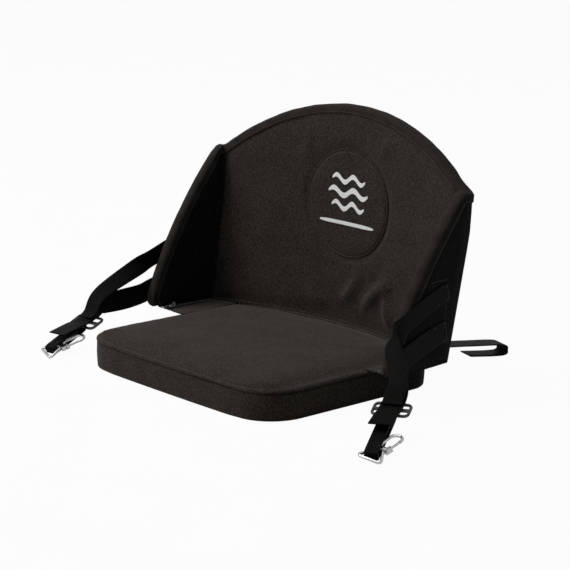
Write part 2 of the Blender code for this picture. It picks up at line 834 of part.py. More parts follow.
def rounded_frame(width, length, radius, steps=4):
    """Outline of a rectangle with round corners, centred on the origin."""
    points = []
    for corner, (sx, sy) in enumerate(((1, 1), (-1, 1), (-1, -1), (1, -1))):
        for i in range(steps + 1):
            angle = math.pi / 2 * (corner + i / steps)
            points.append((sx * (width / 2 - radius) + radius * math.cos(angle),
                           sy * (length / 2 - radius) + radius * math.sin(angle)))
    return points


def buckle(label, side):
    """Tri-glide: a frame with a bar across its middle, for the webbing to pass over."""
    place = loop_matrix(label, side)
    reach = reach_of(label)
    outline = rounded_frame(GLIDE_HEIGHT, GLIDE_LENGTH, GLIDE_RADIUS)
    points = [place @ Vector((x, reach + y, 0)) for x, y in outline]
    frame = tube(label + "_buckle", [(points, True)], GLIDE_BAR, plastic(), 1)
    bm = bmesh.new()
    box(bm, (GLIDE_HEIGHT, GLIDE_BAR, GLIDE_BAR * 0.8), (0, reach, 0))
    bmesh.ops.transform(bm, matrix=place, verts=bm.verts)
    union(frame, bm)


def hook_loop(label, side):
    """Webbing sewn round the buckle's middle bar and folded through the hook's eye."""
    place = loop_matrix(label, side)
    reach = reach_of(label)
    far = EYE_LENGTH * LOOP_SEAT
    lift = HOOK_WIRE / 2 + LOOP_PLAY + WEB_THICKNESS / 2
    bar = reach - GLIDE_LENGTH / 2
    wrap = GLIDE_BAR / 2 + GAP + WEB_THICKNESS / 2
    profile = [(bar + wrap * math.cos(angle), wrap * math.sin(angle))
               for angle in (math.radians(-65 - 5 * i) for i in range(6))]
    profile += [(bar - 0.008, -lift), (far + lift, -lift)]
    for i in range(1, 6):
        angle = math.pi * i / 6
        profile.append((far + lift - lift * math.sin(angle), -lift * math.cos(angle)))
    profile += [(far + lift, lift), (bar - 0.008, lift)]
    profile += [(bar + wrap * math.cos(angle), wrap * math.sin(angle))
                for angle in (math.radians(95 - 22 * i) for i in range(7))]
    points = [place @ Vector((0, y, z)) for y, z in profile]
    across = place.to_3x3() @ Vector((1, 0, 0))
    band(label + "_hook_loop", points, [across] * len(points), LOOP_WIDTH, len(points) - 1, webbing())


def hook_outline():
    """Wire path from the neck round the eye, back past the neck and round the bow to the nose."""
    half = EYE_WIDTH / 2
    neck = NECK_WIDTH / 2
    bow = BOW_WIDTH / 2
    path = [(neck, EYE_LENGTH + NECK_LENGTH / 2), (neck, EYE_LENGTH)]
    for start, centre in ((30, half - EYE_RADIUS), (-90, EYE_RADIUS - half)):
        for i in range(4):
            angle = math.radians(start - 40 * i)
            path.append((centre + EYE_RADIUS * math.cos(angle), EYE_RADIUS + EYE_RADIUS * math.sin(angle)))
    path += [(-neck, EYE_LENGTH), (-neck, EYE_LENGTH + NECK_LENGTH), (-bow, EYE_LENGTH + NECK_LENGTH * 2)]
    top = EYE_LENGTH + BOW_LENGTH - bow
    for i in range(8):
        angle = math.pi - math.pi * i / 7
        path.append((bow * math.cos(angle), top + bow * math.sin(angle)))
    path.append((bow, top - NOSE_LENGTH))
    return path


def gate_pivot():
    """Where the gate turns, in the hook's own frame."""
    return Vector((BOW_WIDTH / 2, EYE_LENGTH + NECK_LENGTH + GATE_EYE + GAP, 0))


def snap_hook(label, side):
    """Chromed wire hook: a triangular eye, a collar with two ears, and a bow the gate closes."""
    place = hook_matrix(label, side)
    points = [place @ Vector((x, y, 0)) for x, y in hook_outline()]
    hook = tube(label + "_snap_hook", [(points, False)], HOOK_WIRE, steel())
    pivot = gate_pivot()
    ear_low = GATE_WIRE / 2 + GAP
    ear_middle = ear_low + EAR_THICKNESS / 2
    wide = NECK_WIDTH / 2 + HOOK_WIRE / 2
    right = pivot.x + GATE_EYE
    bm = bmesh.new()
    box(bm, (wide + right, NECK_LENGTH, 2 * (ear_low + EAR_THICKNESS)),
        ((right - wide) / 2, EYE_LENGTH + NECK_LENGTH / 2, 0))
    for up in (-1, 1):
        length = pivot.y + GATE_EYE - EYE_LENGTH
        box(bm, (2 * GATE_EYE, length, EAR_THICKNESS), (pivot.x, EYE_LENGTH + length / 2, up * ear_middle))
    bmesh.ops.transform(bm, matrix=place, verts=bm.verts)
    union(hook, bm)
    carve(hook, pin_shape(place, PIN_WIRE + 2 * GAP, BOW_WIDTH))


def pin_shape(place, width, length):
    """A cylinder along the gate's pivot, for the pin and its holes."""
    bm = bmesh.new()
    bmesh.ops.create_cone(bm, segments=12, cap_ends=True, radius1=width / 2, radius2=width / 2, depth=length)
    bmesh.ops.transform(bm, matrix=place @ Matrix.Translation(gate_pivot()), verts=bm.verts)
    return bm


def gate_pin(label, side):
    """Riveted pin through the hook's ears and the gate's eye."""
    place = hook_matrix(label, side)
    ears = GATE_WIRE + 2 * GAP + 2 * EAR_THICKNESS
    pin = finish(label + "_gate_pin", pin_shape(place, PIN_WIRE, ears + 2 * GAP + PIN_HEAD), steel())
    bm = bmesh.new()
    for up in (-1, 1):
        made = bmesh.ops.create_cone(bm, segments=12, cap_ends=True, radius1=PIN_WIRE, radius2=PIN_WIRE,
                                     depth=PIN_HEAD)["verts"]
        bmesh.ops.translate(bm, vec=(0, 0, up * (ears / 2 + GAP + PIN_HEAD / 2)), verts=made)
    bmesh.ops.transform(bm, matrix=place @ Matrix.Translation(gate_pivot()), verts=bm.verts)
    union(pin, bm)


def hook_gate(label, side):
    """Sprung gate: an eye round the pin and a round bar that closes the bow."""
    place = hook_matrix(label, side) @ Matrix.Translation(gate_pivot())
    top = EYE_LENGTH + BOW_LENGTH - BOW_WIDTH / 2 - NOSE_LENGTH - gate_pivot().y - NOSE_GAP
    bm = bmesh.new()
    bmesh.ops.create_cone(bm, segments=16, cap_ends=True, radius1=GATE_EYE, radius2=GATE_EYE, depth=GATE_WIRE)
    gate = finish(label + "_hook_gate", bm, steel())
    gate.matrix_world = place
    bar = bmesh.new()
    made = bmesh.ops.create_cone(bar, segments=12, cap_ends=True, radius1=GATE_WIRE * 0.48,
                                 radius2=GATE_WIRE * 0.48, depth=top - GATE_EYE * 0.7)["verts"]
    bmesh.ops.rotate(bar, verts=made, matrix=Matrix.Rotation(-math.pi / 2, 3, "X"))
    bmesh.ops.translate(bar, vec=(0, (top + GATE_EYE * 0.7) / 2, 0), verts=made)
    mesh_union(gate, bar)
    hole = bmesh.new()
    bmesh.ops.create_cone(hole, segments=12, cap_ends=True, radius1=PIN_WIRE / 2 + GAP,
                          radius2=PIN_WIRE / 2 + GAP, depth=BOW_WIDTH)
    carve(gate, hole)


# Behind the backrest

def back_outside(x, z, lift):
    """A point that stands off the backrest's rear face."""
    u = x / (2 * crease_half(min(z, CREASE_HEIGHT))) + 0.5
    v = (z - FOOT) / (top_edge(x) - FOOT)
    return back_face(x, z) + back_normal(u, v) * (PANEL_THICKNESS * 1.01 + lift)


def pouch_bulge(u, v):
    """How full the pouch is: nothing at its seams, most of its depth all over its middle."""
    return (1 - (2 * u - 1) ** 6) ** 0.5 * (1 - (2 * v - 1) ** 4) ** 0.6


def rear_pouch():
    """Soft pouch sewn to the rear face of the backrest."""
    def face(outside):
        def place(u, v):
            x = (u - 0.5) * POUCH_WIDTH
            z = POUCH_LOW + (POUCH_HIGH - POUCH_LOW) * v
            lift = POUCH_HEM + (POUCH_DEPTH - POUCH_HEM) * pouch_bulge(u, v) if outside else 0
            return back_outside(x, z, POUCH_CLEARANCE + lift)
        return place
    slab("rear_pouch", 20, 10, face(False), face(True), black_fabric())


def pouch_flap():
    """Flap that falls from above the pouch's mouth over its upper part."""
    width = POUCH_WIDTH + 2 * FLAP_MARGIN

    def face(lift):
        def place(u, v):
            x = (u - 0.5) * width
            fall = v * (FLAP_RISE + FLAP_DROP)
            z = POUCH_HIGH + FLAP_RISE - fall
            inside = min(max((u - 0.5) * width / POUCH_WIDTH + 0.5, 0), 1)
            level = min(max((z - POUCH_LOW) / (POUCH_HIGH - POUCH_LOW), 0), 1)
            full = POUCH_HEM + (POUCH_DEPTH - POUCH_HEM) * pouch_bulge(inside, level)
            stand = full + FLAP_PLAY if z < POUCH_HIGH + FLAP_RISE / 2 else 0
            return back_outside(x, z, POUCH_CLEARANCE + stand + lift)
        return place
    slab("pouch_flap", 20, 8, face(0), face(FLAP_THICKNESS), black_fabric())


def rear_strap(label, side):
    """Webbing from the backrest's foot, led rearwards and folded back on itself."""
    x = side * REAR_STRAP_PLACE
    z = FOOT + REAR_STRAP_RISE
    low = back_outside(x, z, WEB_THICKNESS / 2 + REAR_PLAY)
    high = back_outside(x, z + REAR_SEAM, WEB_THICKNESS / 2 + REAR_PLAY)
    sideways = (back_face(x + GAP, z) - back_face(x - GAP, z)).normalized()
    away = sideways.cross(Vector((0, 0, -1)))
    bend = low + away * REAR_BEND - Vector((0, 0, REAR_BEND * 0.6))
    far = low + away * REAR_STRAP_LENGTH - Vector((0, 0, REAR_STRAP_FALL))
    fold = REAR_FOLD / 2
    middle = bend.lerp(far, 0.5)
    points = [high, low, bend, middle + Vector((0, 0, REAR_FOLD / 4)), far + Vector((0, 0, fold)),
              far + away * fold, far - Vector((0, 0, fold)), middle - Vector((0, 0, REAR_FOLD * 0.8))]
    across = [sideways] * len(points)
    band(label + "_rear_strap", points, across, WEB_WIDTH, 36, webbing())


def build():
    for item in list(bpy.data.objects):
        bpy.data.objects.remove(item)
    for name in ("kayak_seat", "cutters"):
        made = bpy.data.collections.get(name) or bpy.data.collections.new(name)
        if made.name not in bpy.context.scene.collection.children:
            bpy.context.scene.collection.children.link(made)
    cushion()
    base_panel()
    backrest()
    edge_binding()
    round_patch()
    zip_tape()
    rear_pouch()
    pouch_flap()
    for label, side in SIDES:
        wing(label, side)
        zip_chain(label, side)
        zip_slider(label, side)
        zip_pull(label, side)
        anchor_patch(label, side)
        side_strap(label, side)
        adjuster_strap(label, side)
        buckle(label, side)
        hook_loop(label, side)
        snap_hook(label, side)
        gate_pin(label, side)
        hook_gate(label, side)
        rear_strap(label, side)


build()
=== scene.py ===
"""Looks of a kayak seat: padded covers, webbing, bindings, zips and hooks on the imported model."""

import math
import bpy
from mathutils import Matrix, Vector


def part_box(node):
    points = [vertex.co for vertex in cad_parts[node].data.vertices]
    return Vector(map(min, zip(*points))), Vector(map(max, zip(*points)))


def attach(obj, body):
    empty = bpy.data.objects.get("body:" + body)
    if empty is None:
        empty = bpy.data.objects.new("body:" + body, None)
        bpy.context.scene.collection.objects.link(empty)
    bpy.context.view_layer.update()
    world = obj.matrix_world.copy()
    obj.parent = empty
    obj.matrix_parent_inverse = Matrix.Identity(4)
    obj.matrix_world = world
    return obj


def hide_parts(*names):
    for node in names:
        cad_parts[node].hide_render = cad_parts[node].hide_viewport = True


bl_info = {
    "name": "Kayak Seat",
    "version": (1, 0, 0),
    "blender": (4, 5, 0),
    "location": "View3D > Sidebar > Kayak Seat",
    "description": "Dresses the packed kayak seat in its fabrics, webbing, stitching and metal",
    "category": "Object",
}

import bmesh
import bpy
from bpy.props import FloatProperty, FloatVectorProperty, PointerProperty, StringProperty
from mathutils import Matrix, Vector, noise
from mathutils.bvhtree import BVHTree
from mathutils.kdtree import KDTree

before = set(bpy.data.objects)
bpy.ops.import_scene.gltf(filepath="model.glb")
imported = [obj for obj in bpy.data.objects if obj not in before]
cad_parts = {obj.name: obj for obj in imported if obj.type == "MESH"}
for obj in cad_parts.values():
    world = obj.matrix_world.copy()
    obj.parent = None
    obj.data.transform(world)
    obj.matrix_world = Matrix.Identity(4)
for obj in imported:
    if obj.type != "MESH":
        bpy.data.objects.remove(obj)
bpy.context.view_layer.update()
SIDES = (("left", -1), ("right", 1))

# A CAD mesh is loose triangles, so corners closer than this are one corner
MERGE = 0.00002
# Turn of a flat pair of triangles, and least turn at a sharp rim, in radians
FLAT_TURN = 0.001
SHARP_TURN = 0.9
# A Wave texture turns once over this length at a scale of 1
WAVE_TURN = 2 * math.pi / 20
# Pressure in a cover while it is filled, and how far in from its sewn edges it is free to swell
PRESSURE = 4.0
FREE = 0.016
WHITE = (1.0, 1.0, 1.0, 1.0)
# The two cloths, each as its material and its CAD slot
HEATHER = ("heather_polyester", "heather_fabric")
BLACK = ("black_polyester", "black_fabric")


# Settings that a user would change

def metres(name, default, description):
    """A setting in metres."""
    return FloatProperty(name=name, default=default, description=description, unit="LENGTH")


def hex_colour(name, default, description):
    """A setting that holds a colour, as an sRGB hex value."""
    return StringProperty(name=name, default=default, description=description)


class CoverSettings(bpy.types.PropertyGroup):
    heather_dark: hex_colour("Heather ground", "#1f1b18", "Darkest yarn of the heather cloth")
    heather_light: hex_colour("Heather fleck", "#453d37", "Lightest yarn of the heather cloth")
    black_dark: hex_colour("Black ground", "#0a0a0a", "Darkest yarn of the black cloth")
    black_light: hex_colour("Black fleck", "#222120", "Lightest yarn of the black cloth")
    yarn: metres("Yarn", 0.0012, "Yarn spacing, drawn coarse enough to show")
    swell: metres("Swell", 0.0020, "Most that a filled cover stands out")
    wrinkle: metres("Wrinkle", 0.0011, "Depth of the cloth's soft wrinkles")
    shrink: metres("Shrink", 0.0009, "How much smaller the pouch starts before it is filled")
    voxel: metres("Mesh size", 0.0042, "Mesh size of the filled pouch")


class TrimSettings(bpy.types.PropertyGroup):
    webbing: hex_colour("Webbing", "#090807", "Colour of the straps")
    binding: hex_colour("Binding", "#2d2824", "Colour of the edge tape")
    rib: metres("Rib", 0.0021, "Rib spacing of the webbing")
    web_thickness: metres("Webbing thickness", 0.0017, "Thickness of the straps")
    stitch: metres("Stitch", 0.0034, "Length of a stitch")
    stitch_gap: metres("Stitch gap", 0.0014, "Space between stitches")
    thread: metres("Thread", 0.0008, "Thickness of the thread, drawn coarse enough to show")
    thread_colour: hex_colour("Thread colour", "#242220", "Colour of the sewing thread")
    print_colour: hex_colour("Print colour", "#fbfbf9", "Colour of the printed sign")
    chrome: hex_colour("Chrome", "#c9c9cb", "Colour of the plated hooks")
    moulding: hex_colour("Moulding", "#0f0f10", "Colour of the moulded buckles")


class StageSettings(bpy.types.PropertyGroup):
    focal: FloatProperty(name="Focal length", description="Camera lens in millimetres", default=128.1)
    eye: FloatVectorProperty(name="Eye", description="Place of the camera", default=(2.0523, -1.7336, 0.7617),
                             unit="LENGTH")
    back: FloatVectorProperty(name="Back", description="Direction from the seat to the camera",
                              default=(0.7357, -0.6366, 0.2314))
    floor: hex_colour("Floor", "#eeeeec", "Colour of the floor")
    floor_size: metres("Floor size", 40.0, "Width of the floor")
    whiteness: FloatProperty(name="Whiteness", description="Share of the floor that shows as plain white",
                             default=0.955)
    ambient: FloatProperty(name="Ambient", description="Strength of the light from all round", default=0.05)


def covers():
    return bpy.context.scene.seat_covers


def trims():
    return bpy.context.scene.seat_trims


# Materials

def linear(text):
    """Linear colour of an sRGB hex value."""
    parts = [int(text[i:i + 2], 16) / 255 for i in (1, 3, 5)]
    return (*[p / 12.92 if p <= 0.04045 else ((p + 0.055) / 1.055) ** 2.4 for p in parts], 1.0)


def feed(tree, node, inputs):
    """Sets a node's inputs, each to a value or by a link from a socket."""
    for name, value in inputs.items():
        if isinstance(value, bpy.types.NodeSocket):
            tree.links.new(value, node.inputs[name])
        else:
            node.inputs[name].default_value = value


def add(tree, kind, inputs=None, **settings):
    """Adds a node with its settings and inputs."""
    made = tree.nodes.new(kind)
    for name, value in settings.items():
        setattr(made, name, value)
    feed(tree, made, inputs or {})
    return made


def surface(name):
    """A new material, its node tree and its Principled shader."""
    made = bpy.data.materials.new(name)
    made.use_nodes = True
    return made, made.node_tree, made.node_tree.nodes["Principled BSDF"]


def place_in(tree, kind="Object"):
    """Coordinates in metres for a texture to follow."""
    return add(tree, "ShaderNodeTexCoord").outputs[kind]


def speckle(tree, place, scale, detail=2.0, roughness=0.5):
    """Noise, with so many specks to a metre."""
    return add(tree, "ShaderNodeTexNoise", {"Vector": place, "Scale": scale, "Detail": detail,
                                            "Roughness": roughness}).outputs[0]


def spread(tree, value, near, far, low, high):
    """A value moved from one range to another."""
    return add(tree, "ShaderNodeMapRange", {"Value": value, "From Min": near, "From Max": far,
                                            "To Min": low, "To Max": high}).outputs[0]


def combined(tree, operation, *values):
    """One value from others."""
    return add(tree, "ShaderNodeMath", dict(enumerate(values)), operation=operation).outputs[0]


def shades(tree, value, low, high, start=0.0, end=1.0):
    """A colour that goes from one shade to another as a value goes from start to end."""
    ramp = add(tree, "ShaderNodeValToRGB", {0: value})
    first, last = ramp.color_ramp.elements
    first.position, last.position = start, end
    first.color, last.color = low, high
    return ramp.outputs[0]


def toned(text, share):
    """A hex colour made darker or lighter."""
    return [part * share for part in linear(text)[:3]] + [1.0]


def relief(tree, height, strength, depth):
    """Normals of a surface with fine relief."""
    return add(tree, "ShaderNodeBump", {"Height": height, "Strength": strength, "Distance": depth}).outputs[0]


def woven_polyester(name, dark, light, sheen):
    """Plain-woven 600-denier polyester: matt, with a soft sheen and flecks along both yarns."""
    made, tree, shader = surface(name)
    yarn = covers().yarn
    place = place_in(tree)
    threads = []
    for long in ((2.5, 1, 1), (1, 2.5, 2.5)):
        scale = [1 / (yarn * stretch) for stretch in long]
        mapped = add(tree, "ShaderNodeMapping", {"Vector": place, "Scale": scale})
        threads.append(speckle(tree, mapped.outputs[0], 1.0))
    weave = combined(tree, "MULTIPLY", combined(tree, "ADD", *threads), 0.5)
    worn = spread(tree, speckle(tree, place, 26.0), 0.3, 0.7, -0.02, 0.02)
    feed(tree, shader, {
        "Base Color": shades(tree, combined(tree, "ADD", weave, worn), linear(dark), linear(light), 0.40, 0.62),
        "Normal": relief(tree, weave, 0.45, yarn * 0.45),
        "Roughness": 0.88,
        "Specular IOR Level": 0.05,
        "Sheen Weight": sheen,
        "Sheen Roughness": 0.45,
    })
    return made


def ribbed_webbing(name, colour, rib, roughness):
    """Woven polypropylene webbing: ribs across it from the weft, fine lines of warp along it, with painted shade in the
    rib grooves and a painted highlight on the rib crests.
    """
    made, tree, shader = surface(name)
    place = place_in(tree, "UV")
    ribs = add(tree, "ShaderNodeTexWave", {"Vector": place, "Scale": WAVE_TURN / rib, "Distortion": 0.4,
                                           "Detail": 1.0, "Detail Scale": 2.0}, bands_direction="Y")
    warp = add(tree, "ShaderNodeTexWave", {"Vector": place, "Scale": WAVE_TURN / (rib * 1.3), "Distortion": 0.2},
               bands_direction="X")
    height = combined(tree, "MULTIPLY_ADD", warp.outputs[1], 0.35, ribs.outputs[1])
    # Colour follows the ribs' height times random flecks: painted shade in the grooves and a painted highlight on the
    # crests, plus real random tone
    rib_shade_and_fleck = combined(tree, "MULTIPLY", height, speckle(tree, place, 60.0, 3.0))
    feed(tree, shader, {
        "Base Color": shades(tree, rib_shade_and_fleck, toned(colour, 0.35), toned(colour, 1.9), 0.0, 0.75),
        "Normal": relief(tree, height, 0.6, rib * 0.35),
        "Roughness": roughness,
        "Specular IOR Level": 0.03,
    })
    return made


def sewing_thread(name):
    """Bonded polyester thread: twisted, with a faint gloss."""
    made, tree, shader = surface(name)
    twist = speckle(tree, place_in(tree), 900.0, 1.0)
    thread = trims().thread_colour
    feed(tree, shader, {"Base Color": shades(tree, twist, toned(thread, 0.6), toned(thread, 1.6)), "Roughness": 0.5})
    return made


def moulded_acetal(name):
    """Black acetal, injection moulded: satin, with a fine mould grain."""
    made, tree, shader = surface(name)
    grain = speckle(tree, place_in(tree), 1400.0)
    black = trims().moulding
    feed(tree, shader, {
        "Base Color": shades(tree, grain, toned(black, 0.8), toned(black, 1.3)),
        "Roughness": spread(tree, grain, 0.0, 1.0, 0.30, 0.50),
        "Normal": relief(tree, grain, 0.25, 0.0002),
    })
    return made


def chromed_steel(name):
    """Chrome-plated steel wire: mirror bright, with fine rub marks from the rings it hangs on."""
    made, tree, shader = surface(name)
    rubbed = speckle(tree, place_in(tree), 420.0, 4.0, 0.7)
    feed(tree, shader, {
        "Base Color": shades(tree, rubbed, linear(trims().chrome), linear("#8f9094"), 0.0, 0.9),
        "Roughness": spread(tree, rubbed, 0.35, 0.75, 0.08, 0.30),
        "Metallic": 1.0,
    })
    return made


def screen_print(name):
    """White screen-print ink on woven cloth: matt, with the yarns just showing through."""
    made, tree, shader = surface(name)
    weave = speckle(tree, place_in(tree), 1 / covers().yarn, 1.0)
    feed(tree, shader, {
        "Base Color": shades(tree, weave, linear("#f4f4f1"), linear(trims().print_colour), 0.25, 0.5),
        "Normal": relief(tree, weave, 0.2, 0.0003),
        "Roughness": 0.6,
    })
    return made


MATERIALS = {}


def look(name):
    """A material of the seat, made the first time that it is asked for."""
    if name not in MATERIALS:
        cover, trim = covers(), trims()
        makers = {
            "heather_polyester": (woven_polyester, cover.heather_dark, cover.heather_light, 0.10),
            "black_polyester": (woven_polyester, cover.black_dark, cover.black_light, 0.03),
            "polypropylene_webbing": (ribbed_webbing, trim.webbing, trim.rib, 0.55),
            "grosgrain_binding": (ribbed_webbing, trim.binding, trim.rib * 0.8, 0.7),
            "sewing_thread": (sewing_thread,),
            "moulded_acetal": (moulded_acetal,),
            "chromed_steel": (chromed_steel,),
            "screen_print": (screen_print,),
        }
        maker, *values = makers[name]
        MATERIALS[name] = maker(name, *values)
    return MATERIALS[name]


# Reading the CAD solids

def merged(node):
    """A CAD node's mesh with its loose corners joined."""
    bm = bmesh.new()
    bm.from_mesh(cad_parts[node].data)
    bmesh.ops.remove_doubles(bm, verts=bm.verts, dist=MERGE)
    return bm


def tree_of(node):
    """A CAD node's faces, for rays and for nearest places."""
    bm = merged(node)
    made = BVHTree.FromBMesh(bm)
    bm.free()
    return made


def box_of(node):
    """The lowest and the highest corner of a CAD node."""
    low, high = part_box(node)
    return Vector(low), Vector(high)


def in_order(edges):
    """The corners of a closed run of edges, one after the other."""
    left = list(edges)
    ring = [left[0].verts[0]]
    while left:
        edge = next(item for item in left if ring[-1] in item.verts)
        left.remove(edge)
        ring.append(edge.other_vert(ring[-1]))
    return ring[:-1]


def end_rings(bm, size):
    """The two flat ends of a swept solid, each as the corners of its rim."""
    ends = []
    left = set(bm.faces)
    while left:
        area, border, queue = 0.0, [], [left.pop()]
        while queue:
            face = queue.pop()
            area += face.calc_area()
            for edge in face.edges:
                turn = edge.calc_face_angle(0.0)
                if turn >= FLAT_TURN:
                    border.append((turn, edge))
                    continue
                for other in edge.link_faces:
                    if other in left:
                        left.discard(other)
                        queue.append(other)
        if len(border) == size and min(turn for turn, _ in border) > SHARP_TURN:
            ends.append((area, [edge for _, edge in border]))
    if len(ends) < 2:
        raise ValueError("a swept solid has lost its ends")
    return [in_order(edges) for _, edges in sorted(ends, key=lambda end: end[0])[:2]]


def rails(node, size=4):
    """The long edges of a swept solid, each as a list of points."""
    bm = merged(node)
    ring = end_rings(bm, size)[0]
    seen = set(ring)
    stations = [ring]
    while True:
        fresh = {edge.other_vert(vert) for vert in ring for edge in vert.link_edges} - seen
        if len(fresh) != size:
            break
        rim = {edge for vert in fresh for edge in vert.link_edges if edge.other_vert(vert) in fresh
               and any(corner in seen for face in edge.link_faces for corner in face.verts)}
        loop = in_order(rim)
        turned = [(loop[i:] + loop[:i])[::step] for i in range(size) for step in (1, -1)]
        ring = min(turned, key=lambda tried: sum((a.co - b.co).length_squared for a, b in zip(tried, stations[-1])))
        stations.append(ring)
        seen |= fresh
    made = [[station[i].co.copy() for station in stations] for i in range(size)]
    bm.free()
    return made


def smoothed(points, steps):
    """Points of a smooth curve through the given ones, with some steps to each span."""
    made = []
    for i in range(len(points) - 1):
        a, b = points[max(i - 1, 0)], points[i]
        c, d = points[i + 1], points[min(i + 2, len(points) - 1)]
        for k in range(steps):
            f = k / steps
            made.append((b * 2 + (c - a) * f + (a * 2 - b * 5 + c * 4 - d) * f**2
                         + (b * 3 - a - c * 3 + d) * f**3) / 2)
    return made + [points[-1]]


def section(node, point, normal):
    """The rim of a CAD solid where a plane cuts it, as a closed run of points."""
    bm = merged(node)
    cut = bmesh.ops.bisect_plane(bm, geom=bm.verts[:] + bm.edges[:] + bm.faces[:], plane_co=point, plane_no=normal)
    edges = [item for item in cut["geom_cut"] if isinstance(item, bmesh.types.BMEdge)]
    made = [vert.co.copy() for vert in in_order(edges)]
    bm.free()
    return made + made[:1]


def spaced(points, pitch):
    """Evenly spaced places along a run of points, each with its direction."""
    made = []
    carried = pitch / 2
    for a, b in zip(points, points[1:]):
        length = (b - a).length
        while carried < length:
            made.append((a.lerp(b, carried / length), (b - a).normalized()))
            carried += pitch
        carried -= length
    return made


# Making pieces

def placed(name, bm):
    """A new object in the scene from a bmesh."""
    mesh = bpy.data.meshes.new(name)
    bm.to_mesh(mesh)
    bm.free()
    made = bpy.data.objects.new(name, mesh)
    bpy.context.scene.collection.objects.link(made)
    return made


def piece(name, bm, material, slot, body="seat", replaced=(), angle=40):
    """Turns a bmesh into a piece of the seat that rides on a body."""
    made = placed(name, bm)
    made.data.shade_smooth()
    made.data.set_sharp_from_angle(angle=math.radians(angle))
    made.data.materials.append(look(material))
    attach(made, body)
    if replaced:
        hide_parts(*replaced)
    return made


def settled(holder):
    """A bmesh of an object with its modifiers applied."""
    bm = bmesh.new()
    bm.from_object(holder, bpy.context.evaluated_depsgraph_get())
    return bm


def drop(holder):
    """Removes a passing object and its mesh."""
    mesh = holder.data
    bpy.data.objects.remove(holder)
    bpy.data.meshes.remove(mesh)


def with_modifier(bm, kind, **settings):
    """A bmesh after one modifier."""
    holder = placed("blank", bm)
    step = holder.modifiers.new(kind.lower(), kind)
    for name, value in settings.items():
        setattr(step, name, value)
    made = settled(holder)
    drop(holder)
    return made


def rim_of(bm):
    """Looks up how far a place is from the sewn edges of a shape."""
    pitch = 0.003
    places = []
    for edge in bm.edges:
        if edge.calc_face_angle(0.0) > SHARP_TURN:
            a, b = (vert.co for vert in edge.verts)
            count = max(int((a - b).length / pitch), 1)
            places += [a.lerp(b, k / count) for k in range(count + 1)]
    tree = KDTree(len(places))
    for i, place in enumerate(places):
        tree.insert(place, i)
    tree.balance()
    return tree


def eased(rim, place):
    """0 at a sewn edge, rising to 1 where the cover is free; 1 everywhere without a rim."""
    if rim is None:
        return 1.0
    t = min(rim.find(place)[2] / FREE, 1.0)
    return t * t * (3 - 2 * t)


def swollen(bm, swell, rim=None):
    """Fills a closed cover: cloth under pressure, with a cap on how far it may move."""
    cover = placed("cover", bm)
    cloth = cover.modifiers.new("cover", "CLOTH").settings
    cloth.quality = 4
    cloth.use_pressure = True
    cloth.uniform_pressure_force = PRESSURE
    cloth.effector_weights.gravity = 0
    cloth.tension_stiffness = 25
    cloth.bending_stiffness = 0.8
    scene = bpy.context.scene
    for step in range(1, 21):
        scene.frame_set(step)
    made = settled(cover)
    for vert, start in zip(made.verts, cover.data.vertices):
        move = vert.co - start.co
        most = swell * eased(rim, start.co)
        if move.length > most:
            vert.co = start.co + move * (most / move.length)
    scene.frame_set(1)
    drop(cover)
    return made


def cloth_grid(lines):
    """A sheet through lines of as many points each, with a UV map in metres: across, then along."""
    across, along = len(lines) - 1, len(lines[0]) - 1
    bm = bmesh.new()
    bmesh.ops.create_grid(bm, x_segments=along, y_segments=across, size=0.5, calc_uvs=True)
    uv = bm.loops.layers.uv.verify()
    girth, run = [0.0], [0.0]
    for a, b in zip(lines, lines[1:]):
        girth.append(girth[-1] + (a[0] - b[0]).length)
    for a, b in zip(lines[0], lines[0][1:]):
        run.append(run[-1] + (a - b).length)
    spot = {vert: (round((vert.co.y + 0.5) * across), round((vert.co.x + 0.5) * along)) for vert in bm.verts}
    for face in bm.faces:
        for loop in face.loops:
            j, i = spot[loop.vert]
            loop[uv].uv = (girth[j], run[i])
    for vert, (j, i) in spot.items():
        vert.co = lines[j][i]
    return bm


def sealed(bm, sides=0):
    """Joins a sheet that closes on itself, and fills its open ends."""
    bmesh.ops.remove_doubles(bm, verts=bm.verts, dist=MERGE)
    bmesh.ops.holes_fill(bm, edges=bm.edges, sides=sides)
    bmesh.ops.recalc_face_normals(bm, faces=bm.faces)
    return bm


def thin_cloth(node, voxel, ratio):
    """A thin CAD solid meshed evenly, so that it can wrinkle."""
    bm = with_modifier(merged(node), "REMESH", mode="VOXEL", voxel_size=voxel)
    return with_modifier(bm, "DECIMATE", decimate_type="COLLAPSE", ratio=ratio)


def wrinkled(bm, depth, size, seed, weight=None):
    """Soft wrinkles: moves each point along its normal by slow noise, where weight lets it."""
    bm.normal_update()
    shift = Vector((seed * 3.1, seed * 1.7, seed * 2.3))
    for vert in bm.verts:
        share = weight(vert.co) if weight else 1.0
        if share > 0:
            wave = noise.fractal(Vector(vert.co) / size + shift, 1.0, 2.0, 3)
            vert.co += vert.normal * depth * wave * share
    return bm


def folded(bm, run, height, width):
    """Raises a soft fold in a cover along a run of points, highest halfway."""
    bm.normal_update()
    bm.faces.ensure_lookup_table()
    tree = BVHTree.FromBMesh(bm)
    raised = {}
    places = spaced(run, width / 3)
    for k, (place, _) in enumerate(places):
        share = math.sin(math.pi * (k + 0.5) / len(places))
        for _, _, index, _ in tree.find_nearest_range(place, width * 1.6):
            for vert in bm.faces[index].verts:
                away = (vert.co - place).length / width
                lift = height * share * math.exp(-away * away * 2)
                raised[vert] = max(lift, raised.get(vert, 0))
    for vert, lift in raised.items():
        vert.co += vert.normal * lift


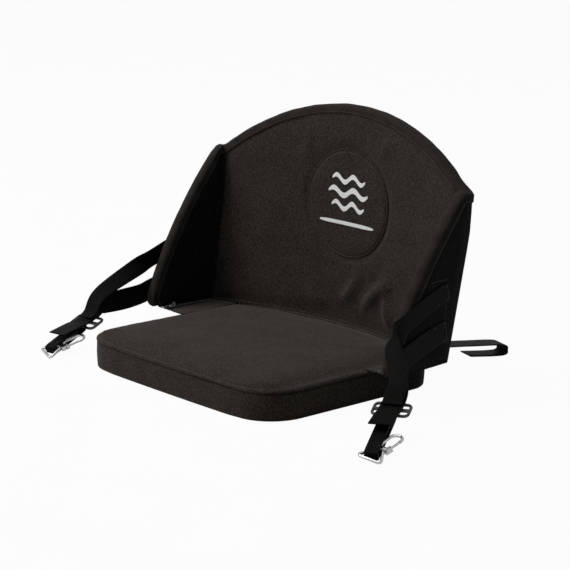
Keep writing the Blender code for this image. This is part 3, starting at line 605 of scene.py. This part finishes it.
def panel_cover(node, cuts, swell, seed, slack=None):
    """A foam panel's cover: its sewn edges stay where they are, and its faces swell and wrinkle."""
    bm = merged(node)
    rim = rim_of(bm)
    bmesh.ops.join_triangles(bm, faces=bm.faces[:], angle_face_threshold=0.7, angle_shape_threshold=1.2)
    bmesh.ops.subdivide_edges(bm, edges=bm.edges[:], cuts=cuts, use_grid_fill=True)
    bm = swollen(bm, swell, rim)
    inner = [vert for vert in bm.verts if eased(rim, vert.co) > 0.3]
    for _ in range(4):
        bmesh.ops.smooth_vert(bm, verts=inner, factor=0.5, use_axis_x=True, use_axis_y=True, use_axis_z=True)
    return wrinkled(bm, covers().wrinkle, 0.06, seed,
                    lambda place: eased(rim, place) * (slack(place) if slack else 1.0))


def sewn(name, runs, on, slot="black_fabric", body="seat"):
    """A row of stitches along runs of points, lying on the pieces they go through."""
    trim = trims()
    graph = bpy.context.evaluated_depsgraph_get()
    trees = [BVHTree.FromObject(item, graph) for item in on]
    size = (trim.thread, trim.thread, trim.stitch, 1.0)
    bm = bmesh.new()
    bmesh.ops.create_uvsphere(bm, u_segments=6, v_segments=4, radius=0.5)
    stitch = bpy.data.meshes.new("stitch")
    bm.to_mesh(stitch)
    bm.clear()
    for run in runs:
        for place, along in spaced(run, trim.stitch + trim.stitch_gap):
            found = min((tree.find_nearest(place) for tree in trees), key=lambda hit: hit[3])
            spot, up = found[0], found[1]
            along = (along - up * along.dot(up)).normalized()
            across = up.cross(along)
            turn = Matrix((across, up, along)).transposed().to_4x4()
            place_of = Matrix.Translation(spot + up * trim.thread * 0.15) @ turn @ Matrix.Diagonal(size)
            stitch.transform(place_of)
            bm.from_mesh(stitch)
            stitch.transform(place_of.inverted())
    bmesh.ops.recalc_face_normals(bm, faces=bm.faces)
    return piece(name, bm, "sewing_thread", slot, body, angle=180)


# Operators, one for each piece or group of like pieces

class SeatPiece:
    """Shared settings of the seat's operators."""
    bl_options = {"REGISTER", "UNDO"}


def seen(tree):
    """1 for a ray from the camera or off a gloss, else 0."""
    path = add(tree, "ShaderNodeLightPath")
    return combined(tree, "MAXIMUM", path.outputs["Is Camera Ray"], path.outputs["Is Glossy Ray"])


class StageOperator(SeatPiece, bpy.types.Operator):
    """Floor, lamps, world and camera"""
    bl_idname = "kayak_seat.stage"
    bl_label = "Stage"

    def execute(self, context):
        stage = context.scene.seat_stage
        bm = bmesh.new()
        bmesh.ops.create_grid(bm, x_segments=1, y_segments=1, size=stage.floor_size / 2)
        floor = placed("floor", bm)
        floor.data.materials.append(self.studio_floor(stage))

        world = bpy.data.worlds.new("studio")
        context.scene.world = world
        world.use_nodes = True
        tree = world.node_tree
        dim = tree.nodes["Background"]
        feed(tree, dim, {"Color": WHITE, "Strength": stage.ambient})
        bright = add(tree, "ShaderNodeBackground", {"Color": WHITE, "Strength": 1.0})
        both = add(tree, "ShaderNodeMixShader", {0: seen(tree), 1: dim.outputs[0], 2: bright.outputs[0]})
        feed(tree, tree.nodes["World Output"], {"Surface": both.outputs[0]})

        # Each as name, place, width in metres and power in watts; they all point at the seat's middle
        lamps = (("key_lamp", (-1.7, -2.1, 2.3), 1.4, 62.0), ("top_lamp", (-0.7, -0.3, 3.0), 1.8, 36.0),
                 ("fill_lamp", (2.6, -1.8, 1.2), 1.6, 0.4))
        target = Vector((0, 0, 0.12))
        for name, spot, size, power in lamps:
            light = bpy.data.lights.new(name, "AREA")
            light.size = size
            light.energy = power
            lamp = bpy.data.objects.new(name, light)
            lamp.location = spot
            lamp.rotation_euler = (Vector(spot) - target).to_track_quat("Z", "Y").to_euler()
            context.scene.collection.objects.link(lamp)

        camera = bpy.data.cameras.new("camera")
        camera.lens = stage.focal
        camera.sensor_width = 36
        camera.clip_end = 100
        holder = bpy.data.objects.new("camera", camera)
        holder.location = stage.eye
        holder.rotation_euler = Vector(stage.back).to_track_quat("Z", "Y").to_euler()
        context.scene.collection.objects.link(holder)
        context.scene.camera = holder
        context.scene.view_settings.view_transform = "Standard"
        return {"FINISHED"}

    def studio_floor(self, stage):
        """White studio paint with a little dust: matt in the seat's shade, nearly plain white to the eye."""
        made, tree, shader = surface("painted_studio_floor")
        dust = speckle(tree, place_in(tree), 8.0)
        feed(tree, shader, {"Base Color": shades(tree, dust, linear("#a3a3a1"), linear(stage.floor)),
                            "Roughness": 0.9})
        glow = add(tree, "ShaderNodeEmission", {"Color": WHITE, "Strength": 1.0})
        share = combined(tree, "MULTIPLY", seen(tree), stage.whiteness)
        both = add(tree, "ShaderNodeMixShader", {0: share, 1: shader.outputs[0], 2: glow.outputs[0]})
        feed(tree, tree.nodes["Material Output"], {"Surface": both.outputs[0]})
        return made


class CushionOperator(SeatPiece, bpy.types.Operator):
    """Boxed foam cushion, with its seam and stitching"""
    bl_idname = "kayak_seat.cushion"
    bl_label = "Cushion"

    def execute(self, context):
        bm, seam = self.boxed()
        cushion = piece("cushion_cover", bm, *HEATHER, replaced=["seat_cushion"], angle=70)
        sewn("cushion_stitches", [seam], [cushion], "heather_fabric")

        bm = merged("base_panel")
        bmesh.ops.bevel(bm, geom=[e for e in bm.edges if e.calc_face_angle(0) > 1], offset=0.0004, segments=2,
                        profile=0.5, affect="EDGES", material=-1)
        piece("underside_cloth", bm, *BLACK, replaced=["base_panel"])
        return {"FINISHED"}

    def boxed(self):
        """The cushion's cover in rings: foot, boxing wall, seam with its lip, crowned top."""
        pitch, waist = 0.0042, 0.02
        rows, row, bulge = 15, 0.0023, 0.0008
        steps, crowding, ease = 44, 1.25, 0.0006
        seam_inset, seam_height, top_inset = 0.0026, 0.0412, 0.0052

        low, high = box_of("seat_cushion")
        tree = tree_of("seat_cushion")
        rim = [place for place, _ in spaced(section("seat_cushion", (0, 0, waist), (0, 0, 1)), pitch)]
        middle = Vector(((low.x + high.x) / 2, (low.y + high.y) / 2, 0))
        ways = []
        for i, place in enumerate(rim):
            along = rim[(i + 1) % len(rim)] - rim[i - 1]
            way = Vector((-along.y, along.x, 0)).normalized()
            ways.append(way if way.dot(middle - place) > 0 else -way)

        # Up the outside, each ring as its way in from the rim and its height
        floor = low.z
        foot = [(0.0120, floor), (0.0034, floor), (0.0030, 0.0004), (0.0010, 0.0003), (0.0002, 0.0010)]
        wall = [(-bulge * math.sin(math.pi * k / (rows - 1)), 0.0024 + k * row) for k in range(rows)]
        lip = [(0.0004, 0.0358), (0.0018, 0.0364), (0.0018, 0.0369), (-0.0002, 0.0374), (-0.0008, 0.0384),
               (-0.0002, 0.0396), (0.0014, 0.0408), (0.0038, 0.0416)]
        rings = [[place + way * inset + Vector((0, 0, height - place.z)) for place, way in zip(rim, ways)]
                 for inset, height in foot + wall + lip]

        # Then over the crown, found by rays from above that lean a little so as to miss the mesh's edges
        above, down = 0.2, Vector((0.0003, 0.0002, -1))
        edge = [place + way * top_inset for place, way in zip(rim, ways)]
        for k in range(steps + 1):
            share = (k / steps) ** crowding
            ring = []
            for place in edge:
                spot = place.lerp(middle, share)
                found = tree.ray_cast(Vector((spot.x, spot.y, above)), down)[0]
                ring.append(Vector((spot.x, spot.y, found.z + ease)))
            rings.append(ring)
        bm = sealed(cloth_grid([ring + ring[:1] for ring in rings]))
        wrinkled(bm, covers().wrinkle, 0.075, 1, lambda place: min(max((place.z - 0.004) / 0.02, 0.0), 1.0))
        wrinkled(bm, 0.0006, 0.018, 2, lambda place: math.exp(-((place.z - 0.040) / 0.006) ** 2))
        seam = [place + way * seam_inset + Vector((0, 0, seam_height - place.z)) for place, way in zip(rim, ways)]
        return bm, seam + seam[:1]


class BackrestOperator(SeatPiece, bpy.types.Operator):
    """Foam backrest and its wings, with the cords sewn into their joins"""
    bl_idname = "kayak_seat.backrest"
    bl_label = "Backrest and wings"

    def execute(self, context):
        low, high = box_of("backrest_panel")

        def slack(place):
            """Wrinkles gather low down, towards the sitter's left."""
            side = math.exp(-((place.x - high.x * 0.45) / 0.09) ** 2)
            foot = math.exp(-((place.z - low.z - 0.06) / 0.05) ** 2)
            return 0.7 + 1.6 * side * foot
        swell = covers().swell
        bm = panel_cover("backrest_panel", 4, swell, 2, slack)
        self.folds(bm)
        self.under_patch(bm)
        panel = piece("backrest_cover", bm, *HEATHER, replaced=["backrest_panel"], angle=180)
        for label, _ in SIDES:
            bm = panel_cover(label + "_wing", 6, swell * 1.1, 3)
            wing = piece(label + "_wing_cover", bm, *BLACK, replaced=[label + "_wing"], angle=180)
        left, right = [self.crease(label) for label, _ in SIDES]
        cord("crease_cords", [left, right], 0.0046, *BLACK)
        cord("foot_cord", [left[:1] + self.foot() + right[:1]], 0.0034, *HEATHER)
        return {"FINISHED"}

    def crease(self, label):
        """The fold between a wing and the backrest, from just under its foot to its top."""
        steps, innermost, under = 40, 16, 0.0015
        on_wing, on_back = tree_of(label + "_wing"), tree_of("backrest_panel")
        wing = merged(label + "_wing")
        inner = sorted((vert.co.copy() for vert in wing.verts), key=lambda co: abs(co.x))
        wing.free()
        top = box_of(label + "_wing")[1].z - 0.004
        foot = min(inner[:innermost], key=lambda co: co.z)
        head = max((co for co in inner if co.z > top), key=lambda co: -abs(co.x))
        run = []
        for k in range(steps + 1):
            place = foot.lerp(head, k / steps)
            for _ in range(2):
                place = (on_wing.find_nearest(place)[0] + on_back.find_nearest(place)[0]) / 2
            run.append(place)
        return [run[0] - Vector((0, 0, under))] + run

    def foot(self):
        """The front edge of the backrest's foot, found by a fan of rays from the middle of the seat."""
        steps, reach, lift = 60, 66, 0.0008
        tree = tree_of("backrest_panel")
        level = box_of("backrest_panel")[0].z
        run = []
        for k in range(steps + 1):
            turn = math.radians(-reach + 2 * reach * k / steps)
            found = tree.ray_cast(Vector((0, 0, level + lift)), Vector((math.sin(turn), math.cos(turn), 0.0001)))[0]
            run.append(Vector((found.x, found.y, level)))
        return run

    def folds(self, bm):
        """Loose folds of the cover beside and under the patch, as a height and an (x, z) run on its front."""
        runs = ((0.0060, (-0.013, 0.074), (0.003, 0.083), (0.015, 0.095), (0.024, 0.110), (0.029, 0.128)),
                (0.0085, (0.040, 0.069), (0.053, 0.086), (0.069, 0.099), (0.084, 0.111), (0.099, 0.120)),
                (0.0070, (0.088, 0.098), (0.093, 0.086), (0.100, 0.073), (0.106, 0.061)),
                (0.0042, (-0.074, 0.084), (-0.056, 0.072), (-0.037, 0.063)),
                (0.0030, (-0.085, 0.310), (-0.083, 0.290), (-0.082, 0.270)),
                (0.0030, (0.087, 0.318), (0.072, 0.303), (0.060, 0.286)))
        width, before = 0.014, 0.14
        tree = BVHTree.FromBMesh(bm)
        for height, *run in runs:
            line = [tree.find_nearest(Vector((x, before, z)))[0] for x, z in run]
            folded(bm, smoothed(line, 6), height, width)

    def under_patch(self, bm):
        """Keeps the cover flat where the round patch is sewn on it."""
        close, fade, gap = 0.0022, 0.006, 0.0004
        tree, near = tree_of("backrest_panel"), tree_of("round_patch")
        for vert in bm.verts:
            share = min(max(1 - (near.find_nearest(vert.co)[3] - close) / fade, 0.0), 1.0)
            if share > 0 and vert.normal.y < 0:
                spot, up, _, _ = tree.find_nearest(vert.co)
                vert.co = vert.co.lerp(spot - up * gap, share)


def cord(name, runs, thickness, material, slot, sides=10):
    """A covered seam cord along runs of points."""
    bm = bmesh.new()
    for run in runs:
        lines = [[] for _ in range(sides + 1)]
        for i, point in enumerate(run):
            along = (run[min(i + 1, len(run) - 1)] - run[max(i - 1, 0)]).normalized()
            out = along.orthogonal() if i == 0 else (out - along * out.dot(along)).normalized()
            out.normalize()
            for j in range(sides + 1):
                turned = Matrix.Rotation(2 * math.pi * j / sides, 3, along) @ out
                lines[j].append(point + turned * thickness / 2)
        made = placed(name, sealed(cloth_grid(lines), sides))
        bm.from_mesh(made.data)
        drop(made)
    return piece(name, bm, material, slot, angle=80)


class PatchOperator(SeatPiece, bpy.types.Operator):
    """Round padded patch with a plain printed sign of waves"""
    bl_idname = "kayak_seat.patch"
    bl_label = "Round patch"

    def execute(self, context):
        low, high = box_of("round_patch")
        middle, half = (low + high) / 2, (high - low) / 2
        bm = self.disc(middle, half)
        patch = piece("patch_cover", bm, *HEATHER, replaced=["round_patch"], angle=180)
        hem = 0.962
        ring = []
        for i in range(73):
            angle = 2 * math.pi * i / 72
            ring.append(Vector((middle.x + math.cos(angle) * half.x * hem, low.y,
                                middle.z + math.sin(angle) * half.z * hem)))
        sewn("patch_stitches", [ring], [patch], "heather_fabric")
        self.sign(patch, middle + Vector((0, -half.y, half.z * 0.12)), half.x)
        return {"FINISHED"}

    def disc(self, middle, half):
        """The patch as rings over the panel's face: level at its sewn edge, padded inside it."""
        tree = tree_of("backrest_panel")
        sides, hem, pad, gap = 96, 0.0007, 0.0014, 0.0003
        top = gap + hem
        # Each ring as its share of the patch's half width and its lift off the panel: back, rim, seam and padding
        profile = [(0.0, gap), (0.5, gap), (0.992, gap), (1.0, gap + hem / 2), (0.996, top), (0.975, top + 0.0001),
                   (0.966, gap + 0.0001), (0.958, gap + 0.0001), (0.949, top + 0.0003), (0.93, top + pad * 0.55)]
        profile += [(0.90 - 0.045 * k, top + pad * min(0.8 + 0.1 * k, 1.0)) for k in range(20)] + [(0.0, top + pad)]
        rings = []
        for share, lift in profile:
            ring = []
            for k in range(sides):
                angle = 2 * math.pi * k / sides
                place = middle + Vector((math.cos(angle) * half.x, 0, math.sin(angle) * half.z)) * share
                spot, up, _, _ = tree.find_nearest(place)
                ring.append(spot + up * lift)
            rings.append(ring + ring[:1])
        bm = sealed(cloth_grid(rings))
        return wrinkled(bm, 0.0004, 0.045, 4, lambda place: 1.0 if (place - middle).length < half.z * 0.85 else 0.0)

    def sign(self, patch, middle, reach):
        """Three waves over a bar, laid on the patch."""
        ink = 0.0003
        # Each as its height, half its length, its thickness and its swing, in shares of the patch's half width
        strokes = ((0.30, 0.40, 0.085, 0.055), (0.07, 0.48, 0.095, 0.055), (-0.16, 0.40, 0.085, 0.055),
                   (-0.45, 0.66, 0.060, 0.0))
        bm = bmesh.new()
        for stroke in strokes:
            self.stroke(bm, middle, reach, *stroke)
        tree = BVHTree.FromObject(patch, bpy.context.evaluated_depsgraph_get())
        for vert in bm.verts:
            spot, up, _, _ = tree.find_nearest(vert.co)
            vert.co = spot + up * ink
        bmesh.ops.solidify(bm, geom=bm.faces[:], thickness=ink)
        bmesh.ops.recalc_face_normals(bm, faces=bm.faces)
        piece("printed_waves", bm, "screen_print", "black_plastic", angle=30)

    def stroke(self, bm, middle, reach, level, half, thick, swing):
        """A brush stroke: a strip whose ends taper, swung into two waves."""
        made = bmesh.ops.create_grid(bm, x_segments=40, y_segments=2, size=1.0)["verts"]
        for vert in made:
            x, y = vert.co.x, vert.co.y
            taper = 1 - abs(x) ** 6 * 0.55
            rise = level + swing * math.sin(x * math.pi * 2) + y * thick * taper / 2
            vert.co = middle + Vector((x * half * reach, 0, rise * reach))


class BindingOperator(SeatPiece, bpy.types.Operator):
    """Tape folded over the free edge of the wings and backrest, with its stitching"""
    bl_idname = "kayak_seat.binding"
    bl_label = "Edge binding"

    def execute(self, context):
        corners, station = 12, 10
        long = [smoothed(rail, 3) for rail in rails("edge_binding", corners)]
        bm = sealed(cloth_grid(long + long[:1]), corners)
        wrinkled(bm, 0.0005, 0.02, 5)
        tape = piece("binding_tape", bm, "grosgrain_binding", "black_fabric", replaced=["edge_binding"], angle=60)
        # The folded rims are the short sides of the tape's section that follow a long one
        width = [(long[k - 1][station] - long[k][station]).length for k in range(corners)]
        rims = [k for k in range(corners) if width[(k + 1) % corners] < 0.0016 and width[k] > 0.004]
        flanges = []
        for k in rims:
            for a, b in ((k, k - 1), ((k + 1) % corners, (k + 2) % corners)):
                flanges.append([p.lerp(q, 0.22) for p, q in zip(long[a], long[b])])
        sewn("binding_stitches", flanges, [tape])
        return {"FINISHED"}


class PouchOperator(SeatPiece, bpy.types.Operator):
    """Soft pouch behind the backrest, under its flap"""
    bl_idname = "kayak_seat.pouch"
    bl_label = "Rear pouch"

    def execute(self, context):
        front = box_of("rear_pouch")[0].y
        bm = wrinkled(self.filled(), 0.0016, 0.045, 7)
        pouch = piece("pouch_cloth", bm, *BLACK, replaced=["rear_pouch"], angle=180)
        bm = wrinkled(thin_cloth("pouch_flap", 0.0011, 0.16), 0.0012, 0.05, 8)
        flap = piece("flap_cloth", bm, *BLACK, replaced=["pouch_flap"], angle=60)
        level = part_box("pouch_flap")[0][2] + 0.009
        hem = [p for p in section("pouch_flap", (0, 0, level), (0, 0, 1)) if p.y > front]
        sewn("flap_stitches", [hem], [flap])
        return {"FINISHED"}

    def filled(self):
        """The pouch's cloth: drawn in, remeshed, swollen and rounded."""
        settings = covers()
        bm = merged("rear_pouch")
        bm.normal_update()
        for vert in bm.verts:
            vert.co -= vert.normal * settings.shrink
        bm = with_modifier(bm, "REMESH", mode="VOXEL", voxel_size=settings.voxel)
        bm = swollen(bm, settings.swell * 0.75)
        return with_modifier(bm, "SUBSURF", levels=1, render_levels=1)


def edge_lines(node):
    """The two edges of a strap's middle surface, with a smooth run of points each."""
    long = rails(node)
    if (long[0][0] - long[1][0]).length < (long[1][0] - long[2][0]).length:
        long = long[1:] + long[:1]
    left = [(a + b) / 2 for a, b in zip(long[0], long[3])]
    right = [(a + b) / 2 for a, b in zip(long[1], long[2])]
    return smoothed(left, 3), smoothed(right, 3)


def rounded(made, name, width):
    """Rounds the sharp edges of a piece."""
    edge = made.modifiers.new(name, "BEVEL")
    edge.width = width
    edge.segments = 2
    edge.limit_method = "ANGLE"
    edge.angle_limit = math.radians(50)


def strap(name, node, lines=6):
    """Webbing in place of a CAD strap: ribbed, with a rounded selvedge along each edge."""
    left, right = edge_lines(node)
    rows = [[a.lerp(b, j / lines) for a, b in zip(left, right)] for j in range(lines + 1)]
    made = piece(name, cloth_grid(rows), "polypropylene_webbing", "black_webbing", replaced=[node], angle=60)
    thick = made.modifiers.new("thickness", "SOLIDIFY")
    thick.thickness = trims().web_thickness
    thick.offset = 0
    rounded(made, "selvedge", trims().web_thickness * 0.3)
    return made, left, right


def stretch(left, right, start, length, steps=8):
    """The two edges of part of a strap, from one distance along it to another."""
    run = 0.0
    made = []
    for i in range(len(left) - 1):
        span = (left[i + 1] - left[i]).length
        for k in range(steps):
            if start <= run + span * k / steps <= start + length:
                made.append((left[i].lerp(left[i + 1], k / steps), right[i].lerp(right[i + 1], k / steps)))
        run += span
    return made


def box_stitch(left, right, start, length, cross):
    """A sewn box, with or without a cross in it, over part of a strap's length."""
    pairs = stretch(left, right, start, length)
    inset = 0.12
    sides = [[a.lerp(b, share) for a, b in pairs] for share in (inset, 1 - inset)]
    near, far = [side[0] for side in sides], [side[-1] for side in sides]
    runs = sides + [near, far]
    if cross:
        runs += [[near[0], far[1]], [near[1], far[0]]]
    return runs


class StrapOperator(SeatPiece, bpy.types.Operator):
    """Side straps, adjuster straps, hook loops and rear straps of ribbed webbing"""
    bl_idname = "kayak_seat.straps"
    bl_label = "Straps"

    def execute(self, context):
        # The sewn boxes of each kind of strap: where one starts, its length, and whether it is crossed
        boxes = {"side_strap": [(0.003, 0.024, True)], "adjuster_strap": [(0.003, 0.024, True)],
                 "hook_loop": [(0.014, 0.012, True)], "rear_strap": [(0.002, 0.010, False), (0.100, 0.008, False)]}
        for label, _ in SIDES:
            runs, on = [], []
            for kind, sewings in boxes.items():
                made, left, right = strap(label + "_" + kind + "_webbing", label + "_" + kind)
                on.append(made)
                if self.starts_far(kind, left):
                    left, right = left[::-1], right[::-1]
                for sewing in sewings:
                    runs += box_stitch(left, right, *sewing)
            sewn(label + "_strap_stitches", runs, on)
            bm = thin_cloth(label + "_anchor_patch", 0.0009, 0.3)
            tab = piece(label + "_anchor_cloth", bm, *BLACK, replaced=[label + "_anchor_patch"], angle=60)
            sewn(label + "_anchor_stitches", [self.rim(label)], [tab])
        return {"FINISHED"}

    def starts_far(self, kind, left):
        """Whether a strap's points begin at its free end."""
        if kind == "hook_loop":
            return False
        if kind == "rear_strap":
            return left[0].y > left[-1].y
        return abs(left[0].x) > abs(left[-1].x)

    def rim(self, label):
        """A run just inside the edge of a sewn tab."""
        low, high = box_of(label + "_anchor_patch")
        inset = 0.003
        x = high.x if label == "right" else low.x
        near, far = low.y + inset, high.y - inset
        foot, head = low.z + inset, high.z - inset
        corners = (near, foot), (far, foot), (far, head), (near, head), (near, foot)
        return [Vector((x, y, z)) for y, z in corners]


class ZipOperator(SeatPiece, bpy.types.Operator):
    """Zip tape with its stitching, chains, sliders and pulls"""
    bl_idname = "kayak_seat.zips"
    bl_label = "Zips"

    def execute(self, context):
        bm = thin_cloth("zip_tape", 0.0009, 0.12)
        tape = piece("zip_tape_cloth", bm, "heather_polyester", "black_webbing", replaced=["zip_tape"], angle=60)
        for label, side in SIDES:
            low, high = box_of(label + "_zip_chain")
            lines = [[Vector((x, low.y, low.z)), Vector((x, high.y, low.z))] for x in (low.x - 0.004, high.x + 0.004)]
            sewn(label + "_zip_stitches", lines, [tape], "black_webbing")
            self.teeth(label, low, high)
            self.gusset(label, side)
            for kind in ("slider", "pull"):
                plated(label + "_zip_" + kind, label + "_" + kind)
        return {"FINISHED"}

    def gusset(self, label, side):
        """Cloth between the cushion's rear corner and the tape round it."""
        seam, near, far = 0.034, 0.0396, 0.0408
        tuck, reach, thickness = 0.003, 0.012, 0.0007
        front = box_of("zip_tape")[0].y + 0.004
        rim = [place for place, _ in spaced(section("seat_cushion", (0, 0, seam), (0, 0, 1)), 0.004)
               if place.x * side > 0.06 and place.y > front]
        rim.sort(key=lambda place: math.atan2(place.y - 0.05, place.x * side - 0.10))
        tree = tree_of("zip_tape")
        lines = [[], [], []]
        for place in rim:
            way = Vector((place.x - side * 0.14, max(place.y - 0.10, 0.0), 0)).normalized()
            found = tree.find_nearest(place + way * reach + Vector((0, 0, 0.004)))[0]
            start, end = Vector((place.x, place.y, near)) - way * tuck, Vector((found.x, found.y, far))
            for line, share in zip(lines, (0, 0.5, 1)):
                line.append(start.lerp(end, share))
        bm = cloth_grid(lines)
        bmesh.ops.solidify(bm, geom=bm.faces[:], thickness=thickness)
        bmesh.ops.recalc_face_normals(bm, faces=bm.faces)
        piece(label + "_gusset_cloth", bm, *HEATHER, angle=60)

    def teeth(self, label, low, high):
        """The coil of a nylon zip: close turns that meet along the middle."""
        pitch = 0.0016
        bm = bmesh.new()
        count = int((high.y - low.y) / pitch)
        for k in range(count):
            y = low.y + (k + 0.5) * pitch
            for side in (-1, 1):
                made = bmesh.ops.create_uvsphere(bm, u_segments=8, v_segments=6, radius=0.5)["verts"]
                width = (high.x - low.x) * 0.56
                bmesh.ops.scale(bm, vec=(width, pitch * 0.92, high.z - low.z), verts=made)
                shift = Vector(((low.x + high.x) / 2 + side * width * 0.38, y + side * pitch / 4, (low.z + high.z) / 2))
                bmesh.ops.translate(bm, vec=shift, verts=made)
        piece(label + "_zip_coil", bm, "moulded_acetal", "black_plastic", replaced=[label + "_zip_chain"], angle=180)


def hard(name, node, material, slot, width, body="seat", angle=40):
    """A hard piece: the CAD solid with its corners rounded."""
    bm = merged(node)
    bmesh.ops.dissolve_limit(bm, angle_limit=FLAT_TURN, verts=bm.verts, edges=bm.edges)
    rounded(piece(name, bm, material, slot, body, replaced=[node], angle=angle), "edges", width)


def plated(node, body, angle=40):
    """A chromed piece."""
    hard(node + "_chromed", node, "chromed_steel", "chromed_steel", 0.00018, body, angle)


class HardwareOperator(SeatPiece, bpy.types.Operator):
    """Moulded buckles and plated snap hooks with their gates and pins"""
    bl_idname = "kayak_seat.hardware"
    bl_label = "Buckles and hooks"

    def execute(self, context):
        for label, _ in SIDES:
            hard(label + "_buckle_moulding", label + "_buckle", "moulded_acetal", "black_plastic", 0.0003, angle=50)
            plated(label + "_snap_hook", "seat", 55)
            plated(label + "_gate_pin", "seat")
            plated(label + "_hook_gate", label + "_gate", 50)
        return {"FINISHED"}


class SeatPanel(bpy.types.Panel):
    """Builds the seat piece by piece"""
    bl_idname = "VIEW3D_PT_kayak_seat"
    bl_label = "Kayak Seat"
    bl_space_type = "VIEW_3D"
    bl_region_type = "UI"
    bl_category = "Kayak Seat"

    def draw(self, context):
        scene = context.scene
        for settings in (scene.seat_covers, scene.seat_trims, scene.seat_stage):
            box = self.layout.box()
            for name in settings.bl_rna.properties.keys():
                if name not in ("rna_type", "name"):
                    box.prop(settings, name)
        for operator in OPERATORS:
            self.layout.operator(operator.bl_idname)


SETTINGS = (("seat_covers", CoverSettings), ("seat_trims", TrimSettings), ("seat_stage", StageSettings))
OPERATORS = (StageOperator, CushionOperator, BackrestOperator, PatchOperator, BindingOperator, PouchOperator,
             StrapOperator, ZipOperator, HardwareOperator)


def register():
    for name, settings in SETTINGS:
        bpy.utils.register_class(settings)
        setattr(bpy.types.Scene, name, PointerProperty(type=settings))
    for item in (*OPERATORS, SeatPanel):
        bpy.utils.register_class(item)


def unregister():
    for item in (SeatPanel, *reversed(OPERATORS)):
        bpy.utils.unregister_class(item)
    for name, settings in reversed(SETTINGS):
        delattr(bpy.types.Scene, name)
        bpy.utils.unregister_class(settings)


def main():
    register()
    for operator in OPERATORS:
        group, name = operator.bl_idname.split(".")
        getattr(getattr(bpy.ops, group), name)()


if __name__ == "__main__":
    main()
